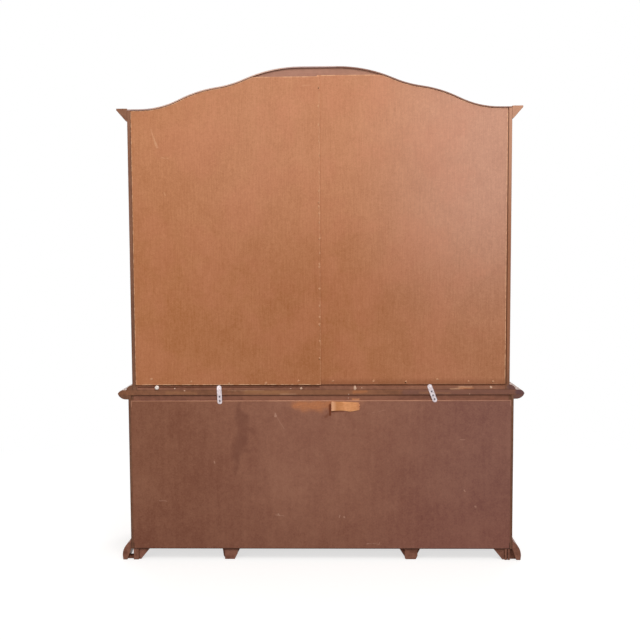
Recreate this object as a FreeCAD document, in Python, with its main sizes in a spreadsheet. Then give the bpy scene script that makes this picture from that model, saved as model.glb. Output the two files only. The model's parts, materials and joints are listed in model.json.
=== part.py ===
import FreeCAD, Part
import math
import os
import re
import Sketcher

# A two-piece dresser: a base case with three drawers and two doors, and a glazed hutch on top.
# Millimetres. X runs to the right seen from the front, Y runs to the back, Z is up.
# The origin is on the floor, in the middle of the outside box. Left and right are as seen
# from the front.

SIZES = (
    ("tool_spill", 1, "how far a shaping block or drill runs past the face that it cuts"),
    # base case
    ("case_width", 1550, "base case over its sides"),
    ("base_depth", 430, "base case, front face to back face"),
    ("case_bottom", 46, "floor to the underside of the base case"),
    ("case_top", 677, "floor to the underside of the base top"),
    ("side_thick", 19, "case sides"),
    ("divider_thick", 19, "upright partitions"),
    ("bottom_thick", 19, "case bottoms"),
    ("shelf_thick", 19, "shelves"),
    ("top_thick", 21, "board of the base top"),
    ("top_overhang", 42.5, "base top beyond the case, front and sides"),
    ("nose_width", 22, "rounded part of the base top's edge"),
    ("nose_drop", 15, "top face down to the tip of the nose"),
    ("nose_foot", 19.5, "flat underside of the nose"),
    ("nose_low_radius", 35, "rounding under the tip of the nose"),
    ("nose_high_radius", 23.6, "rounding over the tip of the nose"),
    ("cove_height", 17, "moulding under the base top"),
    ("cove_reach", 40, "moulding under the base top, at its upper edge"),
    ("cove_foot", 10, "moulding under the base top, at its lower edge"),
    ("cove_radius", 35, "rounding of the moulding under the base top"),
    ("panel_thick", 5, "hardboard back of the base"),
    ("panel_drop", 22, "underside of the base top to the top edge of the base's back"),
    ("rear_lip", 10, "rear edge of a base side beside its rabbet"),
    ("base_rail_width", 70, "rear rail of the base"),
    ("base_rail_gap", 1.5, "shadow gap between the base top and the rear rail"),
    ("rail_thick", 19, "rear rails and the seam post"),
    # face frames
    ("frame_thick", 20, "face frames"),
    ("outer_stile", 48, "outer stiles of the face frames"),
    ("middle_stile", 44, "middle stiles of the face frames"),
    ("divider_place", 367, "middle of the case to the middle of a partition"),
    ("base_top_rail", 37, "top rail of the base's face frame"),
    ("base_low_rail", 64, "bottom rail of the base's face frame"),
    ("drawer_rail", 20, "rails between the drawers"),
    ("hutch_low_rail", 60, "bottom rail of the hutch's face frame"),
    # feet and skirt
    ("facing_lap", 38, "facings and skirt over the case, above its underside"),
    ("foot_run", 130, "length of each foot facing"),
    ("foot_reach", 36, "facing beyond the case at its fullest"),
    ("foot_full_height", 18, "floor to the fullest point of the facing"),
    ("foot_shoulder", 12, "facing beyond the case at the end of its hollow"),
    ("foot_hollow", 14, "height of the hollow under the facing's ledge"),
    ("foot_hollow_radius", 17, "hollow under the facing's ledge"),
    ("foot_belly_radius", 67, "rounding of the facing's belly"),
    ("foot_ledge", 3, "flat ledge on top of the facing"),
    ("foot_toe", 34, "facing beyond the case at the floor, outside"),
    ("foot_heel", 17, "facing beyond the case at the floor, inside"),
    ("bracket_thick", 19, "rear bracket boards"),
    ("bracket_top", 46, "rear bracket's upper edge"),
    ("bracket_low", 8, "rear bracket's lower edge"),
    ("block_width", 21, "glue block beside the rear bracket"),
    ("block_depth", 40, "glue block, front to back"),
    ("block_inset", 9, "glue block inside the case's outer face"),
    ("half_block", 9.5, "each half of the split glue block at the left rear foot"),
    ("bracket_inset", 7, "rear bracket boards inside the back face"),
    ("corner_inset", 14, "filling block of a rear foot inside the back face"),
    ("short_corner", 12, "height of the filling block of the right rear foot"),
    ("prop_top", 76, "front middle foot, upper width"),
    ("prop_low", 40, "front middle foot, lower width"),
    ("right_prop_top", 38, "right rear middle foot, half of its upper width"),
    ("right_prop_side", 33.5, "right rear middle foot, outwards over its rounded corner"),
    ("right_prop_out", 21, "right rear middle foot, outwards at the floor"),
    ("right_prop_in", 14, "right rear middle foot, inwards at the floor"),
    ("prop_round", 12.3, "rounded corner of the right rear middle foot"),
    ("left_prop_top_out", 42, "left rear middle foot, outwards at its upper edge"),
    ("left_prop_top_in", 51, "left rear middle foot, inwards at its upper edge"),
    ("left_prop_out", 19, "left rear middle foot, outwards at the floor"),
    ("left_prop_in", 22, "left rear middle foot, inwards at the floor"),
    ("prop_face", 52, "block behind a rear middle foot, width"),
    ("prop_face_depth", 18, "block behind a rear middle foot, front to back"),
    ("prop_depth", 60, "middle foot, front to back"),
    ("prop_inset", 8, "rear middle feet inside the back face"),
    # drawers
    ("top_drawer", 145, "opening of the top drawer"),
    ("middle_drawer", 165, "opening of the middle drawer"),
    ("door_gap", 2.5, "gap around an inset door or drawer front"),
    ("front_thick", 20, "drawer fronts"),
    ("front_bevel", 5, "bevel around a drawer front"),
    ("drawer_wall", 12, "drawer sides and backs"),
    ("drawer_floor", 6, "drawer bottoms"),
    ("floor_lift", 10, "drawer bottom above the lower edge of the sides"),
    ("drawer_rear_room", 36, "back of a drawer to the rear rail"),
    ("drawer_side_gap", 5, "drawer side to the edge of its opening"),
    ("drawer_headroom", 28, "opening above the drawer sides"),
    ("runner_lap", 3, "drawer runner inwards beyond the drawer's side"),
    ("runner_thick", 18, "drawer runner"),
    ("guide_height", 22, "side guide above the runner"),
    ("slide_gap", 0.6, "drawer side to its guide"),
    ("rest_gap", 0.3, "clearance of a piece that rests or stops on another"),
    ("stop_size", 16, "drawer stop block, height and depth"),
    # doors
    ("door_thick", 19.5, "doors"),
    ("base_door_stile", 55, "stiles and top rail of a base door"),
    ("base_door_rail", 68, "bottom rail of a base door"),
    ("tongue_thick", 6, "edge of a raised panel"),
    ("tongue_reach", 8, "raised panel's edge inside the frame"),
    ("groove_play", 2, "room around the raised panel in its groove"),
    ("groove_place", 7, "door's front face to the groove"),
    ("field_gap", 14, "sight edge to the raised field"),
    ("field_rise", 5, "height of the raised field"),
    ("hutch_door_stile", 46, "stiles and top rail of a hutch door"),
    ("hutch_door_rail", 62, "bottom rail of a hutch door"),
    ("bar_width", 14, "glazing bars"),
    ("bar_thick", 8, "glazing bars, front to back"),
    ("bar_inset", 2, "door's front face to the glazing bars"),
    ("glass_thick", 3, "door glass"),
    ("glass_lap", 8, "glass behind the door frame"),
    ("glass_play", 1, "room around the glass in its rebate"),
    ("meeting_gap", 3, "gap between the two middle hutch doors"),
    # hutch
    ("hutch_width", 1516, "hutch over its sides"),
    ("hutch_depth", 330, "hutch, front face to back face"),
    ("plinth_height", 20, "quarter-round moulding at the hutch's foot"),
    ("plinth_reach", 25, "quarter-round moulding beyond the hutch"),
    ("plinth_radius", 28, "rounding of the quarter-round moulding"),
    ("plinth_lip", 2, "flat top of the quarter-round moulding"),
    ("hutch_floor_lift", 21, "base top to the underside of the hutch bottom"),
    ("hutch_height", 1117, "base top to the flat ends of the roof line"),
    ("crest_flat", 72, "half of the flat crest of the roof line"),
    ("crest_radius", 559, "roof line, round beside the crest"),
    ("hollow_radius", 448, "roof line, hollow above the shoulder"),
    ("shoulder_radius", 504, "roof line, round of the shoulder"),
    ("eaves_radius", 362, "roof line, hollow above the eaves"),
    ("upper_slope", 23.2, "steepest angle above the shoulder, degrees"),
    ("shoulder_slope", 8.4, "angle of the shoulder, degrees"),
    ("lower_slope", 26.2, "steepest angle below the shoulder, degrees"),
    ("roof_thick", 5, "bent roof panel"),
    ("opening_drop", 92, "roof line to the door openings of the hutch"),
    ("crown_reach", 42, "crown moulding beyond the hutch"),
    ("crown_rise", 3, "crown moulding above the roof panel"),
    ("crown_drop", 46, "roof line to the lower edge of the crown"),
    ("crown_nose", 7, "upright nose of the crown"),
    ("crown_heel", 5, "crown's lower edge beyond the hutch"),
    ("crown_break", 4, "small chamfer under the crown's nose"),
    ("hutch_lip", 13, "rear edge of a hutch side beside its rabbet"),
    ("back_rail_width", 130, "upper rear rail below the eaves"),
    ("low_back_rail", 52, "lower rear rail of the hutch"),
    ("post_width", 60, "seam post behind the joint of the back sheets"),
    # back sheets of the hutch
    ("sheet_thick", 3.2, "hardboard back sheets"),
    ("sheet_height", 1219, "right back sheet, one standard sheet high"),
    ("left_sheet_height", 1222, "left back sheet, cut a little taller"),
    ("sheet_ledge", 16, "base top to the ledge under the back sheets"),
    ("right_sheet_lift", 20, "base top to the right sheet's lower edge"),
    ("left_sheet_lift", 21.5, "base top to the left sheet's lower edge"),
    ("sheet_drop", 5.8, "roof line to the sheets' arched edge"),
    ("seam_offset", 3, "middle of the case to the right sheet's edge, to the left"),
    ("sheet_lap", 10, "right sheet over the left sheet"),
    ("sheet_bend", 60, "length over which the right sheet bends down to the rail"),
    ("lap_gap", 2, "edge of the left sheet to the bend of the right one"),
    ("right_sheet_gap", 0.5, "right sheet to its rabbet"),
    ("left_sheet_gap", 4, "left sheet to its rabbet"),
    # shelves
    ("base_shelf_lift", 295, "base bottom to the underside of the base shelves"),
    ("low_shelf_lift", 322, "hutch bottom to the underside of the lower shelves"),
    ("high_shelf_lift", 637, "hutch bottom to the underside of the upper shelves"),
    ("shelf_play", 1, "room at each end of a shelf"),
    ("shelf_setback", 6, "face frame to the shelf's front edge"),
    ("pin_radius", 2.5, "shelf pins"),
    ("pin_length", 9, "shelf pins beyond the wood"),
    ("pin_inset", 40, "shelf edge to its pins"),
    # hardware
    ("leaf_thick", 1, "hinge leaves"),
    ("leaf_width", 18, "hinge leaves inside the gap"),
    ("hinge_length", 60, "hinges"),
    ("hinge_proud", 4, "front face to the hinge axis"),
    ("knuckle_radius", 3.5, "hinge knuckles"),
    ("hinge_pin_radius", 1.5, "hinge pins"),
    ("hinge_play", 0.05, "hinge pin to its bore"),
    ("knuckle_gap", 0.3, "gap between hinge knuckles"),
    ("hinge_inset", 80, "door's end to its first hinge"),
    ("catch_length", 30, "door catches"),
    ("catch_depth", 12, "door catches, front to back"),
    ("catch_reach", 24, "door catches across"),
    ("knob_radius", 14, "door knobs"),
    ("knob_neck", 5.5, "door knobs, neck"),
    ("knob_reach", 26, "door knobs beyond the door"),
    ("knob_rose", 10, "door knobs, rose on the wood"),
    ("knob_rose_thick", 2, "door knobs, edge of the rose"),
    ("knob_dome", 7.5, "door knobs, height of the domed face"),
    ("base_knob_lift", 360, "lower edge of the opening to the base door knobs"),
    ("hutch_knob_lift", 422, "lower edge of the opening to the hutch door knobs"),
    ("pull_place", 200, "middle of a drawer to a pull"),
    ("pull_width", 92, "drawer pull, post to post"),
    ("pull_reach", 25, "drawer pull beyond its plate"),
    ("pull_radius", 3.6, "drawer pull's grip"),
    ("plate_length", 124, "drawer pull's back plate"),
    ("plate_height", 30, "drawer pull's back plate"),
    ("plate_thick", 2.4, "drawer pull's back plate"),
    ("strap_length", 76, "mending plates"),
    ("strap_width", 19, "mending plates"),
    ("strap_thick", 2, "mending plates"),
    ("strap_pitch", 16.5, "screws along a mending plate"),
    ("screw_radius", 2.2, "shank of a mending plate's screw"),
    ("screw_head", 3.9, "head of a mending plate's screw"),
    ("screw_dome", 1.4, "height of a screw head"),
    ("screw_play", 0.1, "screw to its hole in a mending plate"),
    ("right_strap_place", 405.8, "middle of the case to the right mending plate"),
    ("right_strap_drop", 19.1, "base top down to the middle of the right mending plate"),
    ("right_strap_lean", 2.3, "lean of the right mending plate, degrees"),
    ("left_strap_place", 449.3, "middle of the case to the left mending plate"),
    ("left_strap_drop", 14.8, "base top down to the middle of the left mending plate"),
    ("left_strap_lean", 20.8, "lean of the left mending plate, degrees"),
    ("bumper_radius", 8.5, "wall bumper"),
    ("bumper_proud", 6, "wall bumper beyond the back"),
    ("bumper_place", 658, "middle of the case to the wall bumper, to the right"),
    ("bumper_lift", 10, "base top to the middle of the wall bumper"),
    ("bumper_edge", 2, "upright edge of the wall bumper"),
)

# Sizes and places that follow from the driving sizes.
FORMULAS = (
    ("back", "(top_overhang + base_depth + bumper_proud) / 2 - bumper_proud"),
    ("front", "back - base_depth"),
    ("hutch_front", "back - hutch_depth"),
    ("case_half", "case_width / 2"),
    ("hutch_half", "hutch_width / 2"),
    ("base_inside", "case_half - side_thick"),
    ("hutch_inside", "hutch_half - side_thick"),
    ("frame_back", "front + frame_thick"),
    ("hutch_frame_back", "hutch_front + frame_thick"),
    ("panel_face", "back - panel_thick"),
    ("base_rail_face", "panel_face - rail_thick"),
    ("rabbet", "back - 2 * sheet_thick"),
    ("hutch_rail_face", "rabbet - rail_thick"),
    ("top_face", "case_top + top_thick"),
    ("base_floor", "case_bottom + bottom_thick"),
    ("hutch_under", "top_face + hutch_floor_lift"),
    ("hutch_floor", "hutch_under + bottom_thick"),
    ("divider_in", "divider_place - divider_thick / 2"),
    ("divider_out", "divider_place + divider_thick / 2"),
    ("stile_in", "divider_place - middle_stile / 2"),
    ("stile_out", "divider_place + middle_stile / 2"),
    ("base_stile", "case_half - outer_stile"),
    ("hutch_stile", "hutch_half - outer_stile"),
    ("base_sill", "case_bottom + base_low_rail"),
    ("base_head", "case_top - base_top_rail"),
    ("hutch_sill", "top_face + hutch_low_rail"),
    ("top_drawer_low", "base_head - top_drawer"),
    ("middle_drawer_head", "top_drawer_low - drawer_rail"),
    ("middle_drawer_low", "middle_drawer_head - middle_drawer"),
    ("low_drawer_head", "middle_drawer_low - drawer_rail"),
    ("drawer_half", "stile_in - drawer_side_gap"),
    ("drawer_far", "base_rail_face - drawer_rear_room"),
    ("panel_top", "case_top - panel_drop"),
    ("foot_height", "case_bottom + facing_lap"),
    ("base_shelf_height", "base_floor + base_shelf_lift"),
    ("low_shelf_height", "hutch_floor + low_shelf_lift"),
    ("high_shelf_height", "hutch_floor + high_shelf_lift"),
    ("base_knob_height", "base_sill + base_knob_lift"),
    ("hutch_knob_height", "hutch_sill + hutch_knob_lift"),
    ("eaves_height", "top_face + hutch_height"),
    ("rise", "crest_radius * (1 - cos(upper_slope))"
             " + hollow_radius * (cos(shoulder_slope) - cos(upper_slope))"
             " + shoulder_radius * (cos(shoulder_slope) - cos(lower_slope))"
             " + eaves_radius * (1 - cos(lower_slope))"),
    ("crest", "eaves_height + rise"),
    ("opening_head", "crest - opening_drop"),
    ("eaves_head", "eaves_height - opening_drop"),
    ("door_drop", "opening_drop + door_gap"),
    ("sight_drop", "door_drop + hutch_door_stile"),
    ("above_all", "crest + crown_drop"),
)

doc = FreeCAD.newDocument("dresser_with_hutch")
sizes = doc.addObject("Spreadsheet::Sheet", "sizes")
for row, (alias, amount, note) in enumerate(SIZES, 1):
    sizes.set(f"A{row}", note)
    sizes.set(f"B{row}", str(amount))
    sizes.setAlias(f"B{row}", alias)
doc.recompute()

worked = doc.addObject("App::FeaturePython", "worked")
OWNERS = {alias: "sizes" for alias, amount, note in SIZES}
OWNERS.update({name: "worked" for name, formula in FORMULAS})


def spelled_out(formula):
    """The formula with each size's own object in front of its name."""
    def with_owner(match):
        word = match.group(0)
        return f"{OWNERS[word]}.{word}" if word in OWNERS else word
    return re.sub(r"[a-z_]+", with_owner, formula)


for name, formula in FORMULAS:
    worked.addProperty("App::PropertyFloat", name)
    worked.setExpression(name, spelled_out(formula))
doc.recompute()


def bind(item, prop, formula):
    """Tie one property of an object to the sizes."""
    item.setExpression(prop, spelled_out(formula))


def amount_of(formula):
    """The present value of a formula, for shapes that are not bound directly."""
    return float(sizes.evalExpression(spelled_out(formula)))


def on_side(side, low, high):
    """A span on the right (1), or its mirror image on the left (-1)."""
    if side > 0:
        return low, high
    return f"-({high})", f"-({low})"


SIDES = ((-1, "left"), (1, "right"))


def both_ways(half):
    """A span that is the same on both sides of the middle."""
    return f"-({half})", half


def named(item, label):
    item.Label = label
    return item


def board(x, y, z):
    """A rectangular piece between two formulas along each axis."""
    item = doc.addObject("Part::Box", "board")
    for prop, axis, (low, high) in (("Length", "x", x), ("Width", "y", y), ("Height", "z", z)):
        bind(item, prop, f"({high}) - ({low})")
        bind(item, f"Placement.Base.{axis}", low)
    return item


def rod(radius, length, x, y, z, along="z"):
    """A cylinder that starts at a point and runs along one axis."""
    item = doc.addObject("Part::Cylinder", "rod")
    turns = {"x": FreeCAD.Rotation(0, 90, 0), "y": FreeCAD.Rotation(0, 0, -90),
             "z": FreeCAD.Rotation()}
    item.Placement = FreeCAD.Placement(FreeCAD.Vector(), turns[along])
    bind(item, "Radius", radius)
    bind(item, "Height", length)
    for axis, formula in (("x", x), ("y", y), ("z", z)):
        bind(item, f"Placement.Base.{axis}", formula)
    return item


def without(base, tool):
    item = doc.addObject("Part::Cut", "cut")
    item.Base = base
    item.Tool = tool
    return item


def within(base, tool):
    item = doc.addObject("Part::Common", "trimmed")
    item.Base = base
    item.Tool = tool
    return item


def joined(pieces):
    item = doc.addObject("Part::MultiFuse", "joined")
    item.Shapes = pieces
    return item


def together(pieces):
    """Separate solids kept as one sub-part."""
    item = doc.addObject("Part::Compound", "together")
    item.Links = pieces
    return item


def origin_plane(body, role):
    return next(item for item in body.Origin.OriginFeatures if item.Role == role)


def sketch_on(body, role):
    sketch = body.newObject("Sketcher::SketchObject", "sketch")
    sketch.AttachmentSupport = [(origin_plane(body, role), "")]
    sketch.MapMode = "FlatFace"
    return sketch


def pin_point(sketch, line, end, place):
    """Fix one end of a sketch line at a place given by two formulas."""
    for kind, formula in zip(("DistanceX", "DistanceY"), place):
        value = amount_of(formula)
        index = sketch.addConstraint(Sketcher.Constraint(kind, -1, 1, line, end, value))
        bind(sketch, f"Constraints[{index}]", formula)


def bulged(first, last, radius, side):
    """The middle point of an arc between two points; side 1 bulges to the left of the way."""
    chord = last - first
    half = chord.Length / 2
    sagitta = radius - math.sqrt(max(radius ** 2 - half ** 2, 0))
    left = FreeCAD.Vector(-chord.y, chord.x, 0).normalize()
    return (first + last) * 0.5 + left * (side * sagitta)


def draw(sketch, corners, closed=True):
    """Draw corners as bound lines and arcs; a corner is (u, v) or (u, v, radius, side).

    Radius and side belong to the arc that leaves the corner.
    """
    points = [FreeCAD.Vector(amount_of(c[0]), amount_of(c[1]), 0) for c in corners]
    count = len(corners) if closed else len(corners) - 1
    ends = []
    for index in range(count):
        following = (index + 1) % len(corners)
        first, last = points[index], points[following]
        if len(corners[index]) == 2:
            sketch.addGeometry(Part.LineSegment(first, last))
            ends.append((1, 2))
            continue
        radius, side = corners[index][2:]
        middle = bulged(first, last, amount_of(radius), side)
        sketch.addGeometry(Part.Arc(first, middle, last))
        # A sketch keeps every arc anticlockwise, so its start may be the later corner.
        ends.append((2, 1) if side > 0 else (1, 2))
    for index in range(count if closed else count - 1):
        following = (index + 1) % count
        sketch.addConstraint(
            Sketcher.Constraint("Coincident", index, ends[index][1], following, ends[following][0]))
    for index in range(count):
        pin_point(sketch, index, ends[index][0], corners[index][:2])
        if len(corners[index]) > 2:
            constraint = Sketcher.Constraint("Radius", index, amount_of(corners[index][2]))
            bind(sketch, f"Constraints[{sketch.addConstraint(constraint)}]", corners[index][2])
    if not closed:
        pin_point(sketch, count - 1, ends[-1][1], corners[-1])


def placed_outwards(corners, edge, outward):
    """Turn (distance out, height) corners into sketch corners at an edge of the case."""
    return [(f"{edge} + ({outward}) * ({c[0]})", c[1]) + tuple(c[2:3])
            + tuple(side * outward for side in c[3:]) for c in corners]


def padded(corners, role, low, high):
    """A body padded from an outline, between two formulas across the outline's plane."""
    body = doc.addObject("PartDesign::Body", "body")
    sketch = sketch_on(body, role)
    draw(sketch, corners)
    pad = body.newObject("PartDesign::Pad", "pad")
    pad.Profile = sketch
    bind(pad, "Length", f"({high}) - ({low})")
    # The XZ plane faces the front, so its pad runs from the rear formula forwards.
    axis, start = {"XY_Plane": ("z", low), "XZ_Plane": ("y", high), "YZ_Plane": ("x", low)}[role]
    bind(body, f"Placement.Base.{axis}", start)
    return body


def swept_round(section, path, outward):
    """A moulding swept along a path in plan, mitred at its corners.

    The path starts along Y; the section is drawn at its first point, in (distance out, height).
    """
    body = doc.addObject("PartDesign::Body", "body")
    spine = sketch_on(body, "XY_Plane")
    draw(spine, path, closed=False)
    profile = sketch_on(body, "XZ_Plane")
    bind(profile, "AttachmentOffset.Base.z", f"-({path[0][1]})")
    draw(profile, placed_outwards(section, path[0][0], outward))
    pipe = body.newObject("PartDesign::AdditivePipe", "pipe")
    pipe.Profile = profile
    pipe.Spine = (spine, [f"Edge{index}" for index in range(1, len(path))])
    pipe.Transition = "Right corner"
    return body


def three_sides(section, half, face):
    """One moulding along the right side, the front and the left side."""
    path = [(half, "back"), (half, face), (f"-({half})", face), (f"-({half})", "back")]
    return swept_round(section, path, 1)


def three_mitred(section, half, face, reach, height):
    """The same moulding as three lengths that meet in mitres; reach covers its projection."""
    whole = three_sides(section, half, face)
    tip = (f"{half} + {reach}", f"{face} - ({reach})")
    lengths = []
    for side, name in SIDES:
        plan = [(half, face), tip, (tip[0], "back"), (half, "back")]
        lengths.append(within(whole, padded([(f"{side} * ({x})", y) for x, y in plan], "XY_Plane",
                                            *height)))
    front_plan = [(half, face), tip, (f"-({tip[0]})", tip[1]), (f"-({half})", face)]
    lengths.append(within(whole, padded(front_plan, "XY_Plane", *height)))
    return together(lengths)


def strip(x, z, along, length, width, near, thick):
    """A round-ended strip in a plane across Y, centred at x and z and long along x or z."""
    reach, half = f"({length} - {width}) / 2", f"{width} / 2"
    long_way, short_way = (f"-{reach}", reach), (f"-{half}", half)
    spans = (long_way, short_way) if along == "x" else (short_way, long_way)
    pieces = [board((f"{x} + {spans[0][0]}", f"{x} + {spans[0][1]}"), (near, f"{near} + {thick}"),
                    (f"{z} + {spans[1][0]}", f"{z} + {spans[1][1]}"))]
    for sign in ("-", "+"):
        end = (f"{x} {sign} {reach}", z) if along == "x" else (x, f"{z} {sign} {reach}")
        pieces.append(rod(half, thick, end[0], near, end[1], "y"))
    return joined(pieces)


def dome_radius(radius, rise):
    """Radius of a ball-shaped dome of a given foot radius and height."""
    return f"(({radius}) * ({radius}) + ({rise}) * ({rise})) / 2 / ({rise})"


def turned(profile, x, y, z):
    """A piece turned about its own Y axis; the profile is (radius, distance along the axis)."""
    body = doc.addObject("PartDesign::Body", "body")
    sketch = sketch_on(body, "XY_Plane")
    draw(sketch, profile)
    turn = body.newObject("PartDesign::Revolution", "turn")
    turn.Profile = sketch
    turn.ReferenceAxis = (sketch, ["V_Axis"])
    turn.Angle = 360
    for axis, formula in (("x", x), ("y", y), ("z", z)):
        bind(body, f"Placement.Base.{axis}", formula)
    return body


# ---------------------------------------------------------------- roof line

def roof_arcs(drop):
    """Arcs of the right half of the roof line, crest to eaves, set down by drop.

    Each arc is (centre x, centre z, signed radius, first angle, last angle). The angles are
    measured from upright, and a hollow has a negative radius.
    """
    upper, shoulder, lower = (math.radians(amount_of(a))
                              for a in ("upper_slope", "shoulder_slope", "lower_slope"))
    steps = ((amount_of("crest_radius"), 0, upper), (-amount_of("hollow_radius"), upper, shoulder),
             (amount_of("shoulder_radius"), shoulder, lower), (-amount_of("eaves_radius"), lower, 0))
    centre_x = amount_of("crest_flat")
    centre_z = amount_of("crest") - steps[0][0]
    arcs = []
    for index, (radius, first, last) in enumerate(steps):
        if index:
            change = steps[index - 1][0] - radius
            centre_x += change * math.sin(first)
            centre_z += change * math.cos(first)
        arcs.append((centre_x, centre_z, radius - drop, first, last))
    return arcs


def roof_line(drop, half, y):
    """Edges of the roof line from left to right, set down by drop, in the plane at y."""
    def point(arc, angle, side):
        return FreeCAD.Vector(side * (arc[0] + arc[2] * math.sin(angle)), y,
                              arc[1] + arc[2] * math.cos(angle))

    def half_line(side):
        edges = [Part.Arc(point(arc, arc[3], side), point(arc, (arc[3] + arc[4]) / 2, side),
                          point(arc, arc[4], side)).toShape() for arc in roof_arcs(drop)]
        eaves = point(roof_arcs(drop)[-1], 0, side)
        edges.append(Part.makeLine(eaves, FreeCAD.Vector(side * half, y, eaves.z)))
        return edges

    first_arc = roof_arcs(drop)[0]
    crest = Part.makeLine(point(first_arc, 0, -1), point(first_arc, 0, 1))
    return half_line(-1)[::-1] + [crest] + half_line(1)


def under_roof(drop):
    """A block of everything under the roof line set down by drop, used to shape other pieces."""
    half = amount_of("hutch_half + crown_reach")
    y = amount_of("hutch_front - crown_reach")
    edges = roof_line(drop, half, y)
    left, right = (FreeCAD.Vector(side * half, y, amount_of("eaves_height") - drop) for side in (-1, 1))
    low_left, low_right = (FreeCAD.Vector(p.x, y, amount_of("case_top")) for p in (left, right))
    edges += [Part.makeLine(right, low_right), Part.makeLine(low_right, low_left),
              Part.makeLine(low_left, left)]
    face = Part.Face(Part.Wire(Part.__sortEdges__(edges)))
    item = doc.addObject("Part::Feature", "under_roof")
    item.Shape = face.extrude(FreeCAD.Vector(0, amount_of("back + tool_spill") - y, 0))
    return item


below_roof_top = under_roof(0)
below_roof = under_roof(amount_of("roof_thick"))
below_sheets = under_roof(amount_of("sheet_drop"))
below_opening = under_roof(amount_of("opening_drop"))
below_door = under_roof(amount_of("door_drop"))
below_sight = under_roof(amount_of("sight_drop"))
below_rebate = under_roof(amount_of("sight_drop - glass_lap"))
below_glass = under_roof(amount_of("sight_drop - glass_lap + glass_play"))

# ---------------------------------------------------------------- base case


def base_side(side):
    whole = board(on_side(side, "base_inside", "case_half"), ("frame_back", "back"),
                  ("case_bottom", "case_top"))
    rabbet = board(on_side(side, "base_inside", "case_half - rear_lip"), ("panel_face", "back"),
                   ("case_bottom", "case_top"))
    return without(whole, rabbet)


def base_back_rail():
    return board(both_ways("base_inside"), ("base_rail_face", "panel_face"),
                 ("case_top - base_rail_gap - base_rail_width", "case_top - base_rail_gap"))


def base_partitions(rail):
    uprights = [board(on_side(side, "divider_in", "divider_out"), ("frame_back", "panel_face"),
                      ("base_floor", "case_top")) for side, name in SIDES]
    return together([without(upright, rail) for upright in uprights])


def base_face_frame():
    depth = ("front", "frame_back")
    height = ("case_bottom", "case_top")
    pieces = [board(both_ways("stile_in"), depth, span)
              for span in (("base_head", "case_top"), ("case_bottom", "base_sill"),
                           ("middle_drawer_head", "top_drawer_low"),
                           ("low_drawer_head", "middle_drawer_low"))]
    for side, name in SIDES:
        pieces.append(board(on_side(side, "base_stile", "case_half"), depth, height))
        pieces.append(board(on_side(side, "stile_in", "stile_out"), depth, height))
        bay = on_side(side, "stile_out", "base_stile")
        pieces.append(board(bay, depth, ("base_head", "case_top")))
        pieces.append(board(bay, depth, ("case_bottom", "base_sill")))
    return together(pieces)


def base_top():
    """The top board with its rounded nose along the front and both sides."""
    core = board(both_ways("case_half + top_overhang - nose_width"),
                 ("front - top_overhang + nose_width", "back"), ("case_top", "top_face"))
    tip = "top_face - nose_drop"
    section = [("0", "case_top"), ("nose_foot", "case_top", "nose_low_radius", -1),
               ("nose_width", tip, "nose_high_radius", -1), ("0", "top_face")]
    nose = three_sides(section, "case_half + top_overhang - nose_width",
                       "front - top_overhang + nose_width")
    return joined([core, nose])


def base_top_moulding():
    low = "case_top - cove_height"
    section = [("0", low), ("cove_foot", low, "cove_radius", -1), ("cove_reach", "case_top"),
               ("0", "case_top")]
    return three_mitred(section, "case_half", "front", "cove_reach + tool_spill", (low, "case_top"))


named(base_side(-1), "base_side_left")
named(base_side(1), "base_side_right")
base_rear_rail = named(base_back_rail(), "base_back_rail")
named(base_partitions(base_rear_rail), "base_partitions")
named(board(both_ways("base_inside"), ("frame_back", "panel_face"), ("case_bottom", "base_floor")),
      "base_bottom")
named(board(both_ways("case_half - rear_lip"), ("panel_face", "back"), ("case_bottom", "panel_top")),
      "base_back_panel")
named(base_face_frame(), "base_face_frame")
named(base_top(), "base_top")
named(base_top_moulding(), "base_top_moulding")

# ---------------------------------------------------------------- skirt and feet

# Facing section in (distance out from the case, height above the floor).
FACING = (
    ("0", "foot_height"), ("foot_ledge", "foot_height", "foot_hollow_radius", -1),
    ("foot_shoulder", "foot_height - foot_hollow", "foot_belly_radius", 1),
    ("foot_reach", "foot_full_height"), ("foot_toe", "0"), ("foot_heel", "0"), ("0", "case_bottom"),
)


def skirt():
    """Straight facings between the feet, cut off level with the underside of the case."""
    above = ("case_bottom", "foot_height")
    front_run = padded([(f"front - ({c[0]})", c[1]) + tuple(c[2:3]) + tuple(-s for s in c[3:])
                        for c in FACING], "YZ_Plane", "-(case_half - foot_run)",
                       "case_half - foot_run")
    pieces = [within(front_run, board(both_ways("case_half"), ("front - foot_reach", "front"), above))]
    for side, name in SIDES:
        run = padded(placed_outwards(FACING, f"{side} * case_half", side), "XZ_Plane",
                     "front + foot_run", "back - foot_run")
        keep = board(on_side(side, "case_half", "case_half + foot_reach"), ("front", "back"), above)
        pieces.append(within(run, keep))
    return together(pieces)


def scroll_along_x(side, y):
    """The round cut under a side facing."""
    start = on_side(side, "case_half - tool_spill", "case_half + foot_reach + tool_spill")[0]
    return rod("case_bottom", "foot_reach + 2 * tool_spill", start, y, "0", "x")


def front_foot(side):
    edge = f"{side} * case_half"
    path = [(edge, "front + foot_run"), (edge, "front"), (f"{side} * (case_half - foot_run)", "front")]
    facing = swept_round(FACING, path, side)
    under_front = rod("case_bottom", "foot_reach + 2 * tool_spill", f"{side} * (case_half - foot_run)",
                      "front - foot_reach - tool_spill", "0", "y")
    return without(without(facing, under_front), scroll_along_x(side, "front + foot_run"))


def front_feet():
    """Mitred ogee facings with a glue block behind each corner."""
    pieces = []
    for side, name in SIDES:
        pieces.append(front_foot(side))
        pieces.append(board(on_side(side, "case_half - block_depth - block_inset",
                                    "case_half - block_inset"),
                            ("front + block_inset", "front + block_inset + block_depth"),
                            ("0", "case_bottom")))
    return together(pieces)


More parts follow.
